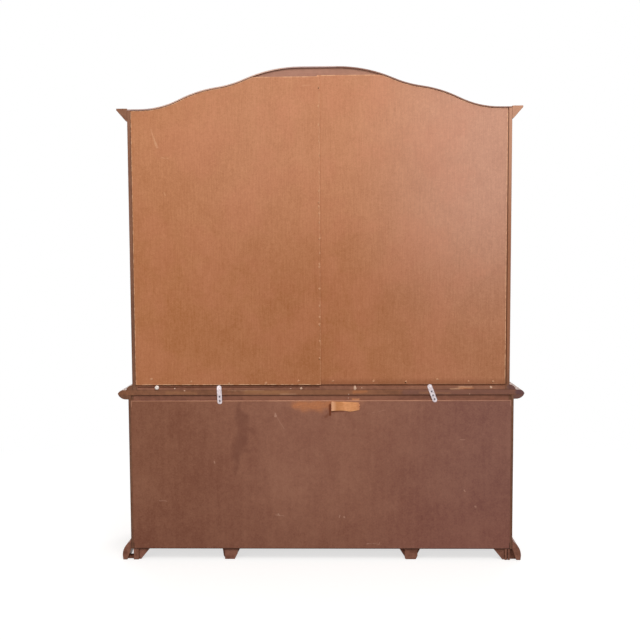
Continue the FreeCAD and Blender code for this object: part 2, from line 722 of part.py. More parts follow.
def corner_block(side, height):
    """Block that fills the hollow between a side facing and the glue block, up to a height."""
    inner = "case_half - block_inset"
    outline = [(f"{side} * ({x})", z) for x, z in (
        (inner, "0"), ("case_half + foot_heel", "0"),
        (f"case_half + foot_heel * (1 - {height} / case_bottom)", height), (inner, height))]
    return padded(outline, "XZ_Plane", "back - block_depth", "back - corner_inset")


def rear_feet():
    """Side facing, sloped bracket board, glue block and filling block at each rear corner."""
    inner, outer = "case_half - block_inset - block_width", "case_half - block_inset"
    glued = {-1: [(inner, f"{inner} + half_block"), (f"{outer} - half_block", outer)],
             1: [(inner, outer)]}
    filling = {-1: "case_bottom", 1: "short_corner"}
    pieces = []
    for side, name in SIDES:
        facing = padded(placed_outwards(FACING, f"{side} * case_half", side), "XZ_Plane",
                        "back - foot_run", "back")
        pieces.append(without(facing, scroll_along_x(side, "back - foot_run")))
        bracket = [(f"{side} * ({x})", z) for x, z in (
            (inner, "0"), (inner, "case_bottom"), (f"{inner} - bracket_top", "case_bottom"),
            (f"{inner} - bracket_low", "0"))]
        pieces.append(padded(bracket, "XZ_Plane", "back - bracket_inset - bracket_thick",
                             "back - bracket_inset"))
        pieces += [board(on_side(side, *span), ("back - block_depth", "back"), ("0", "case_bottom"))
                   for span in glued[side]]
        pieces.append(corner_block(side, filling[side]))
    return together(pieces)


# Outlines of the middle feet in (outwards from the middle of the partition, height).
FRONT_PROP = (("-prop_low / 2", "0"), ("prop_low / 2", "0"), ("prop_top / 2", "case_bottom"),
              ("-prop_top / 2", "case_bottom"))
REAR_PROPS = {
    -1: (("-left_prop_in", "0"), ("left_prop_out", "0"), ("left_prop_top_out", "case_bottom"),
         ("-left_prop_top_in", "case_bottom")),
    1: (("-right_prop_in", "0"), ("right_prop_out", "0", "prop_round", -1),
        ("right_prop_side", "right_prop_side - right_prop_out"), ("right_prop_top", "case_bottom"),
        ("-right_prop_top", "case_bottom")),
}


def middle_feet():
    """Tapered props under the partitions, at the back and behind the skirt.

    Each rear one is a wide board with a narrower block glued behind it.
    """
    rear, step = "back - prop_inset", "back - prop_inset - prop_face_depth"
    pieces = []
    for side, name in SIDES:
        middle = f"{side} * divider_place"
        outline = placed_outwards(REAR_PROPS[side], middle, side)
        pieces.append(padded(outline, "XZ_Plane", f"{rear} - prop_depth", step))
        kept = board(on_side(side, "divider_place - prop_face / 2", "divider_place + prop_face / 2"),
                     (step, rear), ("0", "case_bottom"))
        pieces.append(within(padded(outline, "XZ_Plane", step, rear), kept))
        pieces.append(padded(placed_outwards(FRONT_PROP, middle, side), "XZ_Plane",
                             "frame_back", "frame_back + prop_depth"))
    return together(pieces)


named(skirt(), "base_skirt")
named(front_feet(), "front_feet")
named(rear_feet(), "rear_feet")
named(middle_feet(), "middle_feet")

# ---------------------------------------------------------------- hutch case


def hutch_side(side):
    whole = board(on_side(side, "hutch_inside", "hutch_half"), ("hutch_frame_back", "back"),
                  ("top_face", "above_all"))
    rabbet = board(on_side(side, "hutch_inside", "hutch_half - hutch_lip"), ("rabbet", "back"),
                   ("top_face + sheet_ledge", "above_all"))
    return without(within(whole, below_roof), rabbet)


def hutch_back_rails():
    """Arched upper rail, rabbeted lower rail and the post behind the joint of the sheets."""
    depth = ("hutch_rail_face", "rabbet")
    upper = within(board(both_ways("hutch_inside"), depth,
                         ("eaves_height - back_rail_width", "above_all")), below_roof)
    low_whole = board(both_ways("hutch_inside"), ("hutch_rail_face", "back"),
                      ("top_face", "top_face + low_back_rail"))
    low_rabbet = board(both_ways("hutch_inside"), ("rabbet", "back"),
                       ("top_face + sheet_ledge", "top_face + low_back_rail"))
    post = board(both_ways("post_width / 2"), depth,
                 ("top_face + low_back_rail", "eaves_height - back_rail_width"))
    return together([upper, without(low_whole, low_rabbet), post])


def hutch_partitions(rails):
    pieces = []
    for side, name in SIDES:
        whole = within(board(on_side(side, "divider_in", "divider_out"),
                             ("hutch_frame_back", "rabbet"), ("hutch_floor", "above_all")), below_roof)
        pieces.append(without(without(whole, rails.Links[0]), rails.Links[1]))
    return together(pieces)


def hutch_face_frame():
    depth = ("hutch_front", "hutch_frame_back")
    head = within(board(both_ways("hutch_stile"), depth, ("hutch_sill", "above_all")), below_roof)
    pieces = [without(head, below_opening),
              board(both_ways("stile_in"), depth, ("top_face", "hutch_sill"))]
    for side, name in SIDES:
        outer = board(on_side(side, "hutch_stile", "hutch_half"), depth, ("top_face", "above_all"))
        middle = board(on_side(side, "stile_in", "stile_out"), depth, ("top_face", "above_all"))
        pieces.append(within(outer, below_roof))
        pieces.append(within(middle, below_opening))
        pieces.append(board(on_side(side, "stile_out", "hutch_stile"), depth,
                            ("top_face", "hutch_sill")))
    return together(pieces)


def hutch_roof():
    whole = within(board(both_ways("hutch_half"), ("hutch_front", "back"),
                         ("eaves_height - opening_drop", "above_all")), below_roof_top)
    return without(whole, below_roof)


def hutch_plinth():
    section = [("0", "top_face"), ("plinth_reach", "top_face", "plinth_radius", -1),
               ("plinth_lip", "top_face + plinth_height"), ("0", "top_face + plinth_height")]
    return three_mitred(section, "hutch_half", "hutch_front", "plinth_reach + tool_spill",
                        ("top_face", "top_face + plinth_height"))


# Crown section in (distance out from the hutch, height above the roof line).
CROWN = (
    ("0", "-crown_drop"), ("crown_heel", "-crown_drop"),
    ("crown_reach - crown_break", "crown_rise - crown_nose - crown_break"),
    ("crown_reach", "crown_rise - crown_nose"), ("crown_reach", "crown_rise"), ("0", "crown_rise"),
)


def crown_front():
    """The crown section swept along the roof line."""
    half = amount_of("hutch_half + crown_reach")
    face, eaves = amount_of("hutch_front"), amount_of("eaves_height")
    corners = [FreeCAD.Vector(-half, face - amount_of(u), eaves + amount_of(v)) for u, v in CROWN]
    section = Part.makePolygon(corners + corners[:1])
    item = doc.addObject("Part::Feature", "crown_front")
    item.Shape = Part.Wire(roof_line(0, half, face)).makePipeShell([section], True, False)
    return item


def corner_prism(corners):
    return padded(corners, "XY_Plane", "eaves_height - opening_drop", "above_all")


def crown():
    """Front run and two side returns, mitred at the corners."""
    front_run = crown_front()
    returns = []
    for side, name in SIDES:
        inner = (f"{side} * hutch_half", "hutch_front")
        past_side = f"{side} * (hutch_half + crown_reach + tool_spill)"
        past_front = "hutch_front - crown_reach - tool_spill"
        front_run = without(front_run, corner_prism(
            [inner, (past_side, past_front), (past_side, "hutch_front + tool_spill"),
             (inner[0], "hutch_front + tool_spill")]))
        run = padded(placed_outwards([(u, f"eaves_height + ({v})") for u, v in CROWN],
                                     f"{side} * hutch_half", side),
                     "XZ_Plane", "hutch_front - crown_reach", "back")
        within_side = f"{side} * (hutch_half - tool_spill)"
        returns.append(without(run, corner_prism(
            [inner, (past_side, past_front), (within_side, past_front), (within_side, "hutch_front")])))
    return together([front_run] + returns)


def back_sheet_left():
    sheet = board(("-(hutch_half - hutch_lip - left_sheet_gap)", "sheet_lap - seam_offset"),
                  ("rabbet", "rabbet + sheet_thick"),
                  ("top_face + left_sheet_lift",
                   "top_face + left_sheet_lift + left_sheet_height"))
    return within(sheet, below_sheets)


def back_sheet_right():
    """The upper sheet, bent over the edge of the left one."""
    seam, lap = "-seam_offset", "sheet_lap - seam_offset + lap_gap"
    down, edge = f"{lap} + sheet_bend", "hutch_half - hutch_lip - right_sheet_gap"
    low, middle = "rabbet", "rabbet + sheet_thick"
    plan = [(seam, middle), (lap, middle), (down, low), (edge, low), (edge, middle), (down, middle),
            (lap, "back"), (seam, "back")]
    foot = "top_face + right_sheet_lift"
    sheet = padded(plan, "XY_Plane", foot, f"{foot} + sheet_height")
    return within(sheet, below_sheets)


named(hutch_side(-1), "hutch_side_left")
named(hutch_side(1), "hutch_side_right")
rear_rails = named(hutch_back_rails(), "hutch_back_rails")
named(hutch_partitions(rear_rails), "hutch_partitions")
named(board(both_ways("hutch_inside"), ("hutch_frame_back", "hutch_rail_face"),
            ("hutch_under", "hutch_floor")), "hutch_bottom")
named(hutch_face_frame(), "hutch_face_frame")
named(hutch_roof(), "hutch_roof")
named(hutch_plinth(), "hutch_plinth_moulding")
named(crown(), "crown_moulding")
named(back_sheet_left(), "back_sheet_left")
named(back_sheet_right(), "back_sheet_right")

# ---------------------------------------------------------------- shelves

# Each shelf is (low x, high x, front edge, rear edge, height of its underside).
BASE_SHELVES = [on_side(side, "divider_out", "base_inside") + (
    "frame_back", "base_rail_face", "base_shelf_height") for side, name in SIDES]
HUTCH_SHELVES = [bay + ("hutch_frame_back", "hutch_rail_face", height)
                 for height in ("low_shelf_height", "high_shelf_height")
                 for bay in (both_ways("divider_in"), on_side(-1, "divider_out", "hutch_inside"),
                             on_side(1, "divider_out", "hutch_inside"))]


def shelf(low, high, near, far, height):
    return board((f"{low} + shelf_play", f"{high} - shelf_play"),
                 (f"{near} + shelf_setback", f"{far} - shelf_play"),
                 (height, f"{height} + shelf_thick"))


def shelf_pegs(low, high, near, far, height):
    pegs = []
    for start in (low, f"{high} - pin_length"):
        for y in (f"{near} + shelf_setback + pin_inset", f"{far} - shelf_play - pin_inset"):
            pegs.append(rod("pin_radius", "pin_length", start, y, f"{height} - pin_radius", "x"))
    return pegs


named(together([shelf(*place) for place in BASE_SHELVES]), "base_shelves")
named(together([shelf(*place) for place in HUTCH_SHELVES]), "hutch_shelves")
named(together([peg for place in BASE_SHELVES + HUTCH_SHELVES for peg in shelf_pegs(*place)]),
      "shelf_pins")

# ---------------------------------------------------------------- drawers

DRAWERS = (("top", "top_drawer_low", "base_head"),
           ("middle", "middle_drawer_low", "middle_drawer_head"),
           ("bottom", "base_sill", "low_drawer_head"))


def drawer_front(low, high):
    """A front with its face edges bevelled."""
    width, foot, head = "stile_in - door_gap", f"{low} + door_gap", f"{high} - door_gap"
    outline = [(f"-({width})", foot), (width, foot), (width, head), (f"-({width})", head)]
    body = padded(outline, "XZ_Plane", "front", "front + front_thick")
    doc.recompute()
    pad = body.Tip
    front_face = next(index for index, face in enumerate(body.Shape.Faces, 1)
                      if abs(face.BoundBox.YMax - amount_of("front")) < 0.001)
    bevel = body.newObject("PartDesign::Chamfer", "bevel")
    bevel.Base = (pad, [f"Face{front_face}"])
    bind(bevel, "Size", "front_bevel")
    return body


def drawer_box(low, high):
    """Two sides, an inner front, a back and a bottom, all within the drawer's side gap."""
    foot, head = f"{low} + rest_gap", f"{high} - drawer_headroom"
    near, far = "front + front_thick", "drawer_far"
    wall = "drawer_half - drawer_wall"
    pieces = [board(on_side(side, wall, "drawer_half"), (near, far), (foot, head))
              for side, name in SIDES]
    pieces.append(board(both_ways(wall), (near, f"{near} + drawer_wall"), (foot, head)))
    pieces.append(board(both_ways(wall), (f"{far} - drawer_wall", far), (foot, head)))
    pieces.append(board(both_ways(wall), (f"{near} + drawer_wall", f"{far} - drawer_wall"),
                        (f"{foot} + floor_lift", f"{foot} + floor_lift + drawer_floor")))
    return together(pieces)


def pull(place, height):
    """A round-ended back plate cast in one with a curved grip."""
    face = "front - plate_thick"
    plate = strip(place, height, "x", "plate_length", "plate_height", face, "plate_thick")
    body = doc.addObject("PartDesign::Body", "grip")
    spine = sketch_on(body, "XY_Plane")
    draw(spine, [("-pull_width / 2", "0", "pull_width * pull_width / 8 / pull_reach + pull_reach / 2",
                  -1), ("pull_width / 2", "0")], closed=False)
    profile = sketch_on(body, "XZ_Plane")
    profile.addGeometry(Part.Circle(FreeCAD.Vector(-amount_of("pull_width / 2"), 0, 0),
                                    FreeCAD.Vector(0, 0, 1), amount_of("pull_radius")))
    pin_point(profile, 0, 3, ("-pull_width / 2", "0"))
    round_size = profile.addConstraint(Sketcher.Constraint("Radius", 0, amount_of("pull_radius")))
    bind(profile, f"Constraints[{round_size}]", "pull_radius")
    pipe = body.newObject("PartDesign::AdditivePipe", "pipe")
    pipe.Profile = profile
    pipe.Spine = (spine, ["Edge1"])
    for axis, formula in (("x", place), ("y", face), ("z", height)):
        bind(body, f"Placement.Base.{axis}", formula)
    ahead = board((f"{place} - pull_width", f"{place} + pull_width"),
                  (f"{face} - pull_reach - pull_radius", face),
                  (f"{height} - plate_height", f"{height} + plate_height"))
    return joined([plate, within(body, ahead)])


def drawer_pulls(low, high):
    return together([pull(f"{side} * pull_place", f"({low} + {high}) / 2") for side, name in SIDES])


def runners():
    """For each drawer and side: a runner, a side guide and a stop."""
    pieces = []
    stop = "drawer_far + rest_gap"
    for name, low, high in DRAWERS:
        for side, word in SIDES:
            run = ("frame_back", "base_rail_face")
            pieces.append(board(on_side(side, "drawer_half - drawer_wall - runner_lap", "divider_in"),
                                run, (f"{low} - runner_thick", low)))
            pieces.append(board(on_side(side, "drawer_half + slide_gap", "divider_in"), run,
                                (low, f"{low} + guide_height")))
            pieces.append(board(on_side(side, "drawer_half - drawer_wall", "drawer_half + slide_gap"),
                                (stop, f"{stop} + stop_size"), (low, f"{low} + stop_size")))
    return together(pieces)


for name, low, high in DRAWERS:
    named(drawer_front(low, high), f"drawer_{name}_front")
    named(drawer_box(low, high), f"drawer_{name}_box")
    named(drawer_pulls(low, high), f"drawer_{name}_pulls")
named(runners(), "drawer_runners")

# ---------------------------------------------------------------- hinges, knobs and catches


def hinge(side, edge, face, low):
    """A butt hinge in the gap beside a door; side points from the frame to the door.

    Returns the frame's half, with its pin, and the door's half.
    """
    high = f"{low} + hinge_length"
    third = "hinge_length / 3"
    axis_x, axis_y = f"{edge} + {side} * door_gap / 2", f"{face} - hinge_proud"
    barrel = (("0", f"{third} - knuckle_gap"), (f"{third}", third),
              (f"2 * {third} + knuckle_gap", f"{third} - knuckle_gap"))

    def leaf_span(near, far):
        ends = (f"{edge} + ({near})", f"{edge} + ({far})")
        return ends if side > 0 else (f"{edge} - ({far})", f"{edge} - ({near})")

    fixed_x = leaf_span("0", "leaf_thick")
    door_x = leaf_span("door_gap - leaf_thick", "door_gap")
    fixed = [board(fixed_x, (face, f"{face} + leaf_width"), (low, high))]
    moving = [board(door_x, (face, f"{face} + leaf_width"), (low, high))]
    for index, (start, length) in enumerate(barrel):
        foot = f"{low} + {start}"
        knuckle = rod("knuckle_radius", length, axis_x, axis_y, foot)
        neck_x = door_x if index == 1 else fixed_x
        neck = board(neck_x, (axis_y, face), (foot, f"{foot} + {length}"))
        (moving if index == 1 else fixed).extend([knuckle, neck])
    fixed.append(rod("hinge_pin_radius", "hinge_length", axis_x, axis_y, low))
    bore = rod("hinge_pin_radius + hinge_play", "hinge_length", axis_x, axis_y, low)
    return joined(fixed), without(joined(moving), bore)


def knob(x, face, height):
    """A turned knob whose base is on the door's front face."""
    profile = [("0", "0"), ("0", "-knob_reach", dome_radius("knob_radius", "knob_dome"), -1),
               ("knob_radius", "-knob_reach + knob_dome", "knob_dome", -1),
               ("knob_neck", "-knob_reach + 2 * knob_dome"),
               ("knob_neck", "-2 * knob_rose_thick"), ("knob_rose", "-knob_rose_thick"),
               ("knob_rose", "0")]
    return turned(profile, x, face, height)


def door_hardware(side, edge, face, heights, knob_x, knob_height):
    """Hinges at the given heights and a knob; returns the fixed and the moving pieces."""
    fixed, moving = [], []
    for low in heights:
        frame_half, door_half = hinge(side, edge, face, low)
        fixed.append(frame_half)
        moving.append(door_half)
    moving.append(knob(knob_x, face, knob_height))
    return fixed, moving


frame_hinges = []

# ---------------------------------------------------------------- base doors


def base_door(side):
    """Frame of two stiles and two rails, grooved for the raised panel."""
    depth = ("front", "front + door_thick")
    foot, head = "base_sill + door_gap", "base_head - door_gap"
    near, far = "stile_out + door_gap", "base_stile - door_gap"
    sight_x = (f"{near} + base_door_stile", f"{far} - base_door_stile")
    sight_z = (f"{foot} + base_door_rail", f"{head} - base_door_stile")

    def inset(span, reach):
        return f"{span[0]} - ({reach})", f"{span[1]} + {reach}"

    groove_y = ("front + groove_place", "front + groove_place + tongue_thick")
    groove_reach = "tongue_reach + groove_play"
    groove = board(on_side(side, *inset(sight_x, groove_reach)), groove_y,
                   inset(sight_z, groove_reach))
    members = [board(on_side(side, near, sight_x[0]), depth, (foot, head)),
               board(on_side(side, sight_x[1], far), depth, (foot, head)),
               board(on_side(side, *sight_x), depth, (foot, sight_z[0])),
               board(on_side(side, *sight_x), depth, (sight_z[1], head))]
    tongue = board(on_side(side, *inset(sight_x, "tongue_reach")), groove_y,
                   inset(sight_z, "tongue_reach"))
    low_x, high_x = on_side(side, *inset(sight_x, "-field_gap"))
    low_z, high_z = inset(sight_z, "-field_gap")
    field = padded([(low_x, low_z), (high_x, low_z), (high_x, high_z), (low_x, high_z)], "XZ_Plane",
                   "front + groove_place - field_rise", "front + groove_place")
    field.Tip.TaperAngle = -45
    return together([without(member, groove) for member in members]), joined([tongue, field])


for side, name in SIDES:
    frame, panel = base_door(side)
    named(frame, f"base_door_{name}_frame")
    named(panel, f"base_door_{name}_panel")
    heights = ("base_sill + door_gap + hinge_inset", "base_head - door_gap - hinge_inset - hinge_length")
    knob_x = f"{side} * (stile_out + door_gap + base_door_stile / 2)"
    fixed, moving = door_hardware(-side, f"{side} * base_stile", "front", heights, knob_x,
                                  "base_knob_height")
    frame_hinges += fixed
    named(together(moving), f"base_door_{name}_hardware")

# ---------------------------------------------------------------- hutch doors

# Each door is (name, side of the case, near edge, far edge, hinged at its far edge).
HUTCH_DOORS = (
    ("outer_left", -1, "stile_out + door_gap", "hutch_stile - door_gap", "hutch_stile"),
    ("inner_left", -1, "meeting_gap / 2", "stile_in - door_gap", "stile_in"),
    ("inner_right", 1, "meeting_gap / 2", "stile_in - door_gap", "stile_in"),
    ("outer_right", 1, "stile_out + door_gap", "hutch_stile - door_gap", "hutch_stile"),
)


def glazing_bars(side, near, far, low):
    """One upright bar and two rows of short bars level with the shelves."""
    depth = ("hutch_front + bar_inset", "hutch_front + bar_inset + bar_thick")
    middle = f"({near} + {far}) / 2"
    left, right = f"{middle} - bar_width / 2", f"{middle} + bar_width / 2"
    bars = [within(board(on_side(side, left, right), depth, (low, "crest")), below_sight)]
    for shelf_height in ("low_shelf_height", "high_shelf_height"):
        foot = f"{shelf_height} + shelf_thick / 2 - bar_width / 2"
        for span in ((near, left), (right, far)):
            bars.append(board(on_side(side, *span), depth, (foot, f"{foot} + bar_width")))
    return bars


def hutch_door(side, near, far):
    """Frame with an arched head, glazing bars in front of the glass, and the glass."""
    depth = ("hutch_front", "hutch_front + door_thick")
    foot, top = "hutch_sill + door_gap", "crest"
    sight = (f"{near} + hutch_door_stile", f"{far} - hutch_door_stile")
    sill = f"{foot} + hutch_door_rail"
    glass_y = "hutch_front + bar_inset + bar_thick"
    rebate = within(board(on_side(side, f"{sight[0]} - glass_lap", f"{sight[1]} + glass_lap"),
                          (glass_y, depth[1]), (f"{sill} - glass_lap", top)), below_rebate)
    members = [within(board(on_side(side, near, sight[0]), depth, (foot, top)), below_door),
               within(board(on_side(side, sight[1], far), depth, (foot, top)), below_door),
               board(on_side(side, *sight), depth, (foot, sill)),
               without(within(board(on_side(side, *sight), depth, (sill, top)), below_door),
                       below_sight)]
    frame = [without(member, rebate) for member in members]
    glass = within(board(on_side(side, f"{sight[0]} - glass_lap + glass_play",
                                 f"{sight[1]} + glass_lap - glass_play"),
                         (glass_y, f"{glass_y} + glass_thick"),
                         (f"{sill} - glass_lap + glass_play", top)), below_glass)
    return together(frame + glazing_bars(side, sight[0], sight[1], sill)), glass


for name, side, near, far, edge in HUTCH_DOORS:
    frame, glass = hutch_door(side, near, far)
    named(frame, f"hutch_door_{name}_frame")
    named(glass, f"hutch_door_{name}_glass")
    first = "hutch_sill + door_gap + hinge_inset"
    last = "eaves_head - door_gap - hinge_inset - hinge_length"
    fixed, moving = door_hardware(-side, f"{side} * {edge}", "hutch_front",
                                  (first, f"({first} + {last}) / 2", last),
                                  f"{side} * ({near} + hutch_door_stile / 2)", "hutch_knob_height")
    frame_hinges += fixed
    named(together(moving), f"hutch_door_{name}_hardware")
named(together(frame_hinges), "hinge_leaves")


def catches():
    """Blocks behind the free edge of each door, fixed to the back of the face frame."""
    pieces = []
    for side, word in SIDES:
        across = on_side(side, "divider_out", "divider_out + catch_reach")
        for face, height in (("frame_back", "base_knob_height"),
                             ("hutch_frame_back", "hutch_knob_height")):
            pieces.append(board(across, (face, f"{face} + catch_depth"),
                                (f"{height} - catch_length / 2", f"{height} + catch_length / 2")))
    pieces.append(board(both_ways("catch_length"),
                        ("hutch_frame_back", "hutch_frame_back + catch_depth"),
                        ("opening_head - catch_length / 2", "opening_head + catch_length / 2")))
    return together(pieces)


named(catches(), "door_catches")

# ---------------------------------------------------------------- hardware on the back


# Screws of a mending plate, in pitches from its middle.
SCREW_STEPS = (-1.5, -0.5, 0.5, 1.5)


def strap_screws():
    screws = []
    for step in SCREW_STEPS:
        profile = [("0", "0"), ("screw_radius", "0"), ("screw_radius", "strap_thick"),
                   ("screw_head", "strap_thick", dome_radius("screw_head", "screw_dome"), -1),
                   ("0", "strap_thick + screw_dome")]
        screws.append(turned(profile, "0", "0", f"{step} * strap_pitch"))
    return screws


def mending_plate(place, height, lean):
    """A round-ended steel strip with four screws, leaning about its middle."""
    plate = strip("0", "0", "z", "strap_length", "strap_width", "0", "strap_thick")
    for step in SCREW_STEPS:
        hole = rod("screw_radius + screw_play", "strap_thick + 2 * tool_spill", "0", "-tool_spill",
                   f"{step} * strap_pitch", "y")
        plate = without(plate, hole)
    plate = together([plate] + strap_screws())
    plate.Placement = FreeCAD.Placement(
        FreeCAD.Vector(), FreeCAD.Rotation(FreeCAD.Vector(0, 1, 0), amount_of(lean)))
    for axis, formula in (("x", place), ("y", "back"), ("z", height)):
        bind(plate, f"Placement.Base.{axis}", formula)
    return plate


def wall_bumper():
    """A domed disc on the hutch's foot."""
    dome = dome_radius("bumper_radius", "bumper_proud - bumper_edge")
    profile = [("0", "0"), ("bumper_radius", "0"), ("bumper_radius", "bumper_edge", dome, -1),
               ("0", "bumper_proud")]
    return turned(profile, "bumper_place", "back", "top_face + bumper_lift")


named(together([mending_plate("right_strap_place", "top_face - right_strap_drop", "right_strap_lean"),
                mending_plate("-left_strap_place", "top_face - left_strap_drop", "left_strap_lean")]),
      "mending_plates")
named(wall_bumper(), "wall_bumper")

# ---------------------------------------------------------------- checks and export

NODES = (
    ["base_side_left", "base_side_right", "base_partitions", "base_bottom", "base_top",
     "base_top_moulding", "base_back_panel", "base_back_rail", "base_face_frame", "base_skirt",
     "base_shelves", "front_feet", "rear_feet", "middle_feet", "drawer_runners",
     "hutch_side_left", "hutch_side_right", "hutch_partitions", "hutch_bottom", "hutch_back_rails",
     "hutch_face_frame", "hutch_roof", "hutch_plinth_moulding", "crown_moulding", "hutch_shelves",
     "back_sheet_left", "back_sheet_right", "shelf_pins", "hinge_leaves", "door_catches",
     "mending_plates", "wall_bumper"]
    + [f"drawer_{name}_{piece}" for name, low, high in DRAWERS for piece in ("front", "box", "pulls")]
    + [f"base_door_{name}_{piece}" for side, name in SIDES for piece in ("frame", "panel", "hardware")]
    + [f"hutch_door_{door[0]}_{piece}" for door in HUTCH_DOORS for piece in ("frame", "glass", "hardware")]
)

doc.recompute()
for item in doc.Objects:
    if "Invalid" in item.State or "Error" in item.State:
        raise RuntimeError(f"{item.Name} ({item.Label}) failed: {item.State}")

solids = {}
for node in NODES:
    shape = doc.getObjectsByLabel(node)[0].Shape
    if shape.isNull() or not shape.isValid() or not shape.Solids:
        raise RuntimeError(f"{node} has no valid solid")
    solids[node] = shape

os.makedirs("parts", exist_ok=True)
for node, shape in solids.items():
    shape.exportStep(f"parts/{node}.step")

whole = Part.makeCompound(list(solids.values())).BoundBox
print(f"{len(solids)} sub-parts, {sum(len(shape.Solids) for shape in solids.values())} solids")
print(f"x {whole.XMin:.2f} to {whole.XMax:.2f}, y {whole.YMin:.2f} to {whole.YMax:.2f},"
      f" z {whole.ZMin:.2f} to {whole.ZMax:.2f}")
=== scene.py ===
import json
import math
import random

import bmesh
import bpy
from mathutils import Matrix, Vector, noise
from mathutils.bvhtree import BVHTree

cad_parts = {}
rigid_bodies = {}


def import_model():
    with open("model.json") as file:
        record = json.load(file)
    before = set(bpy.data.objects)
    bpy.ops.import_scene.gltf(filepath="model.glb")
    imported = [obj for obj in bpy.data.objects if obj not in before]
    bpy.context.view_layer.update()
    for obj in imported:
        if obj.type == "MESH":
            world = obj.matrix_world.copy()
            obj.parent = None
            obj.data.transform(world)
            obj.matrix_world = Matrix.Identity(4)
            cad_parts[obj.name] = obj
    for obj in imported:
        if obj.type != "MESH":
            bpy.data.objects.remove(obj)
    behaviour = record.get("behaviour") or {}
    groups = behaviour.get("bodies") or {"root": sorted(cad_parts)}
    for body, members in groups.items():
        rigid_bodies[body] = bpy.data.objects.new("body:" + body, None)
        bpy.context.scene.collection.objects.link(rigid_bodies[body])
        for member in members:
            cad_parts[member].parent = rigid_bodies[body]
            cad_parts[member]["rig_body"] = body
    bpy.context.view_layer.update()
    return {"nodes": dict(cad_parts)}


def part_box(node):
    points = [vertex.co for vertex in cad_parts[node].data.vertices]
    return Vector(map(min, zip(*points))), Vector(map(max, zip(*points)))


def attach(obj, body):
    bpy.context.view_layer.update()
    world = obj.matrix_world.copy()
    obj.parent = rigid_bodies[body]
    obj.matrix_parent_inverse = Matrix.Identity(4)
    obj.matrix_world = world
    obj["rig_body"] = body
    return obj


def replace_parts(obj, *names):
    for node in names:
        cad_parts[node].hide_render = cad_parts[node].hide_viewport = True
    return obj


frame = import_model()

# Metres. X runs to the right seen from the front, Y to the back, Z up. The camera looks at the back.

scene = bpy.context.scene
scene.view_settings.view_transform = "Standard"
NODES = frame["nodes"]


def srgb(red, green, blue):
    """A colour written in 0 to 255, as the linear colour a shader takes."""
    def linear(part):
        part /= 255
        return part / 12.92 if part <= 0.04045 else ((part + 0.055) / 1.055) ** 2.4
    return (linear(red), linear(green), linear(blue), 1.0)


# ---------------------------------------------------------------- camera

CAMERA_PLACE = (-0.06785, 3.73325, 1.22347)
CAMERA_TILT, CAMERA_YAW, CAMERA_ROLL = 0.0696949, -0.0192175, 0.0049269
FOCAL_LENGTH = 49.41

facing_back = Matrix(((-1, 0, 0), (0, 0, 1), (0, 1, 0)))
turned = (Matrix.Rotation(CAMERA_ROLL, 3, "Z") @ Matrix.Rotation(CAMERA_TILT, 3, "X")
          @ Matrix.Rotation(CAMERA_YAW, 3, "Y"))
camera = bpy.data.objects.new("camera", bpy.data.cameras.new("camera"))
camera.data.sensor_width = 36
camera.data.lens = FOCAL_LENGTH
camera.data.clip_end = 100
camera.matrix_world = Matrix.Translation(CAMERA_PLACE) @ (facing_back @ turned.transposed()).to_4x4()
scene.collection.objects.link(camera)
scene.camera = camera

# ---------------------------------------------------------------- materials


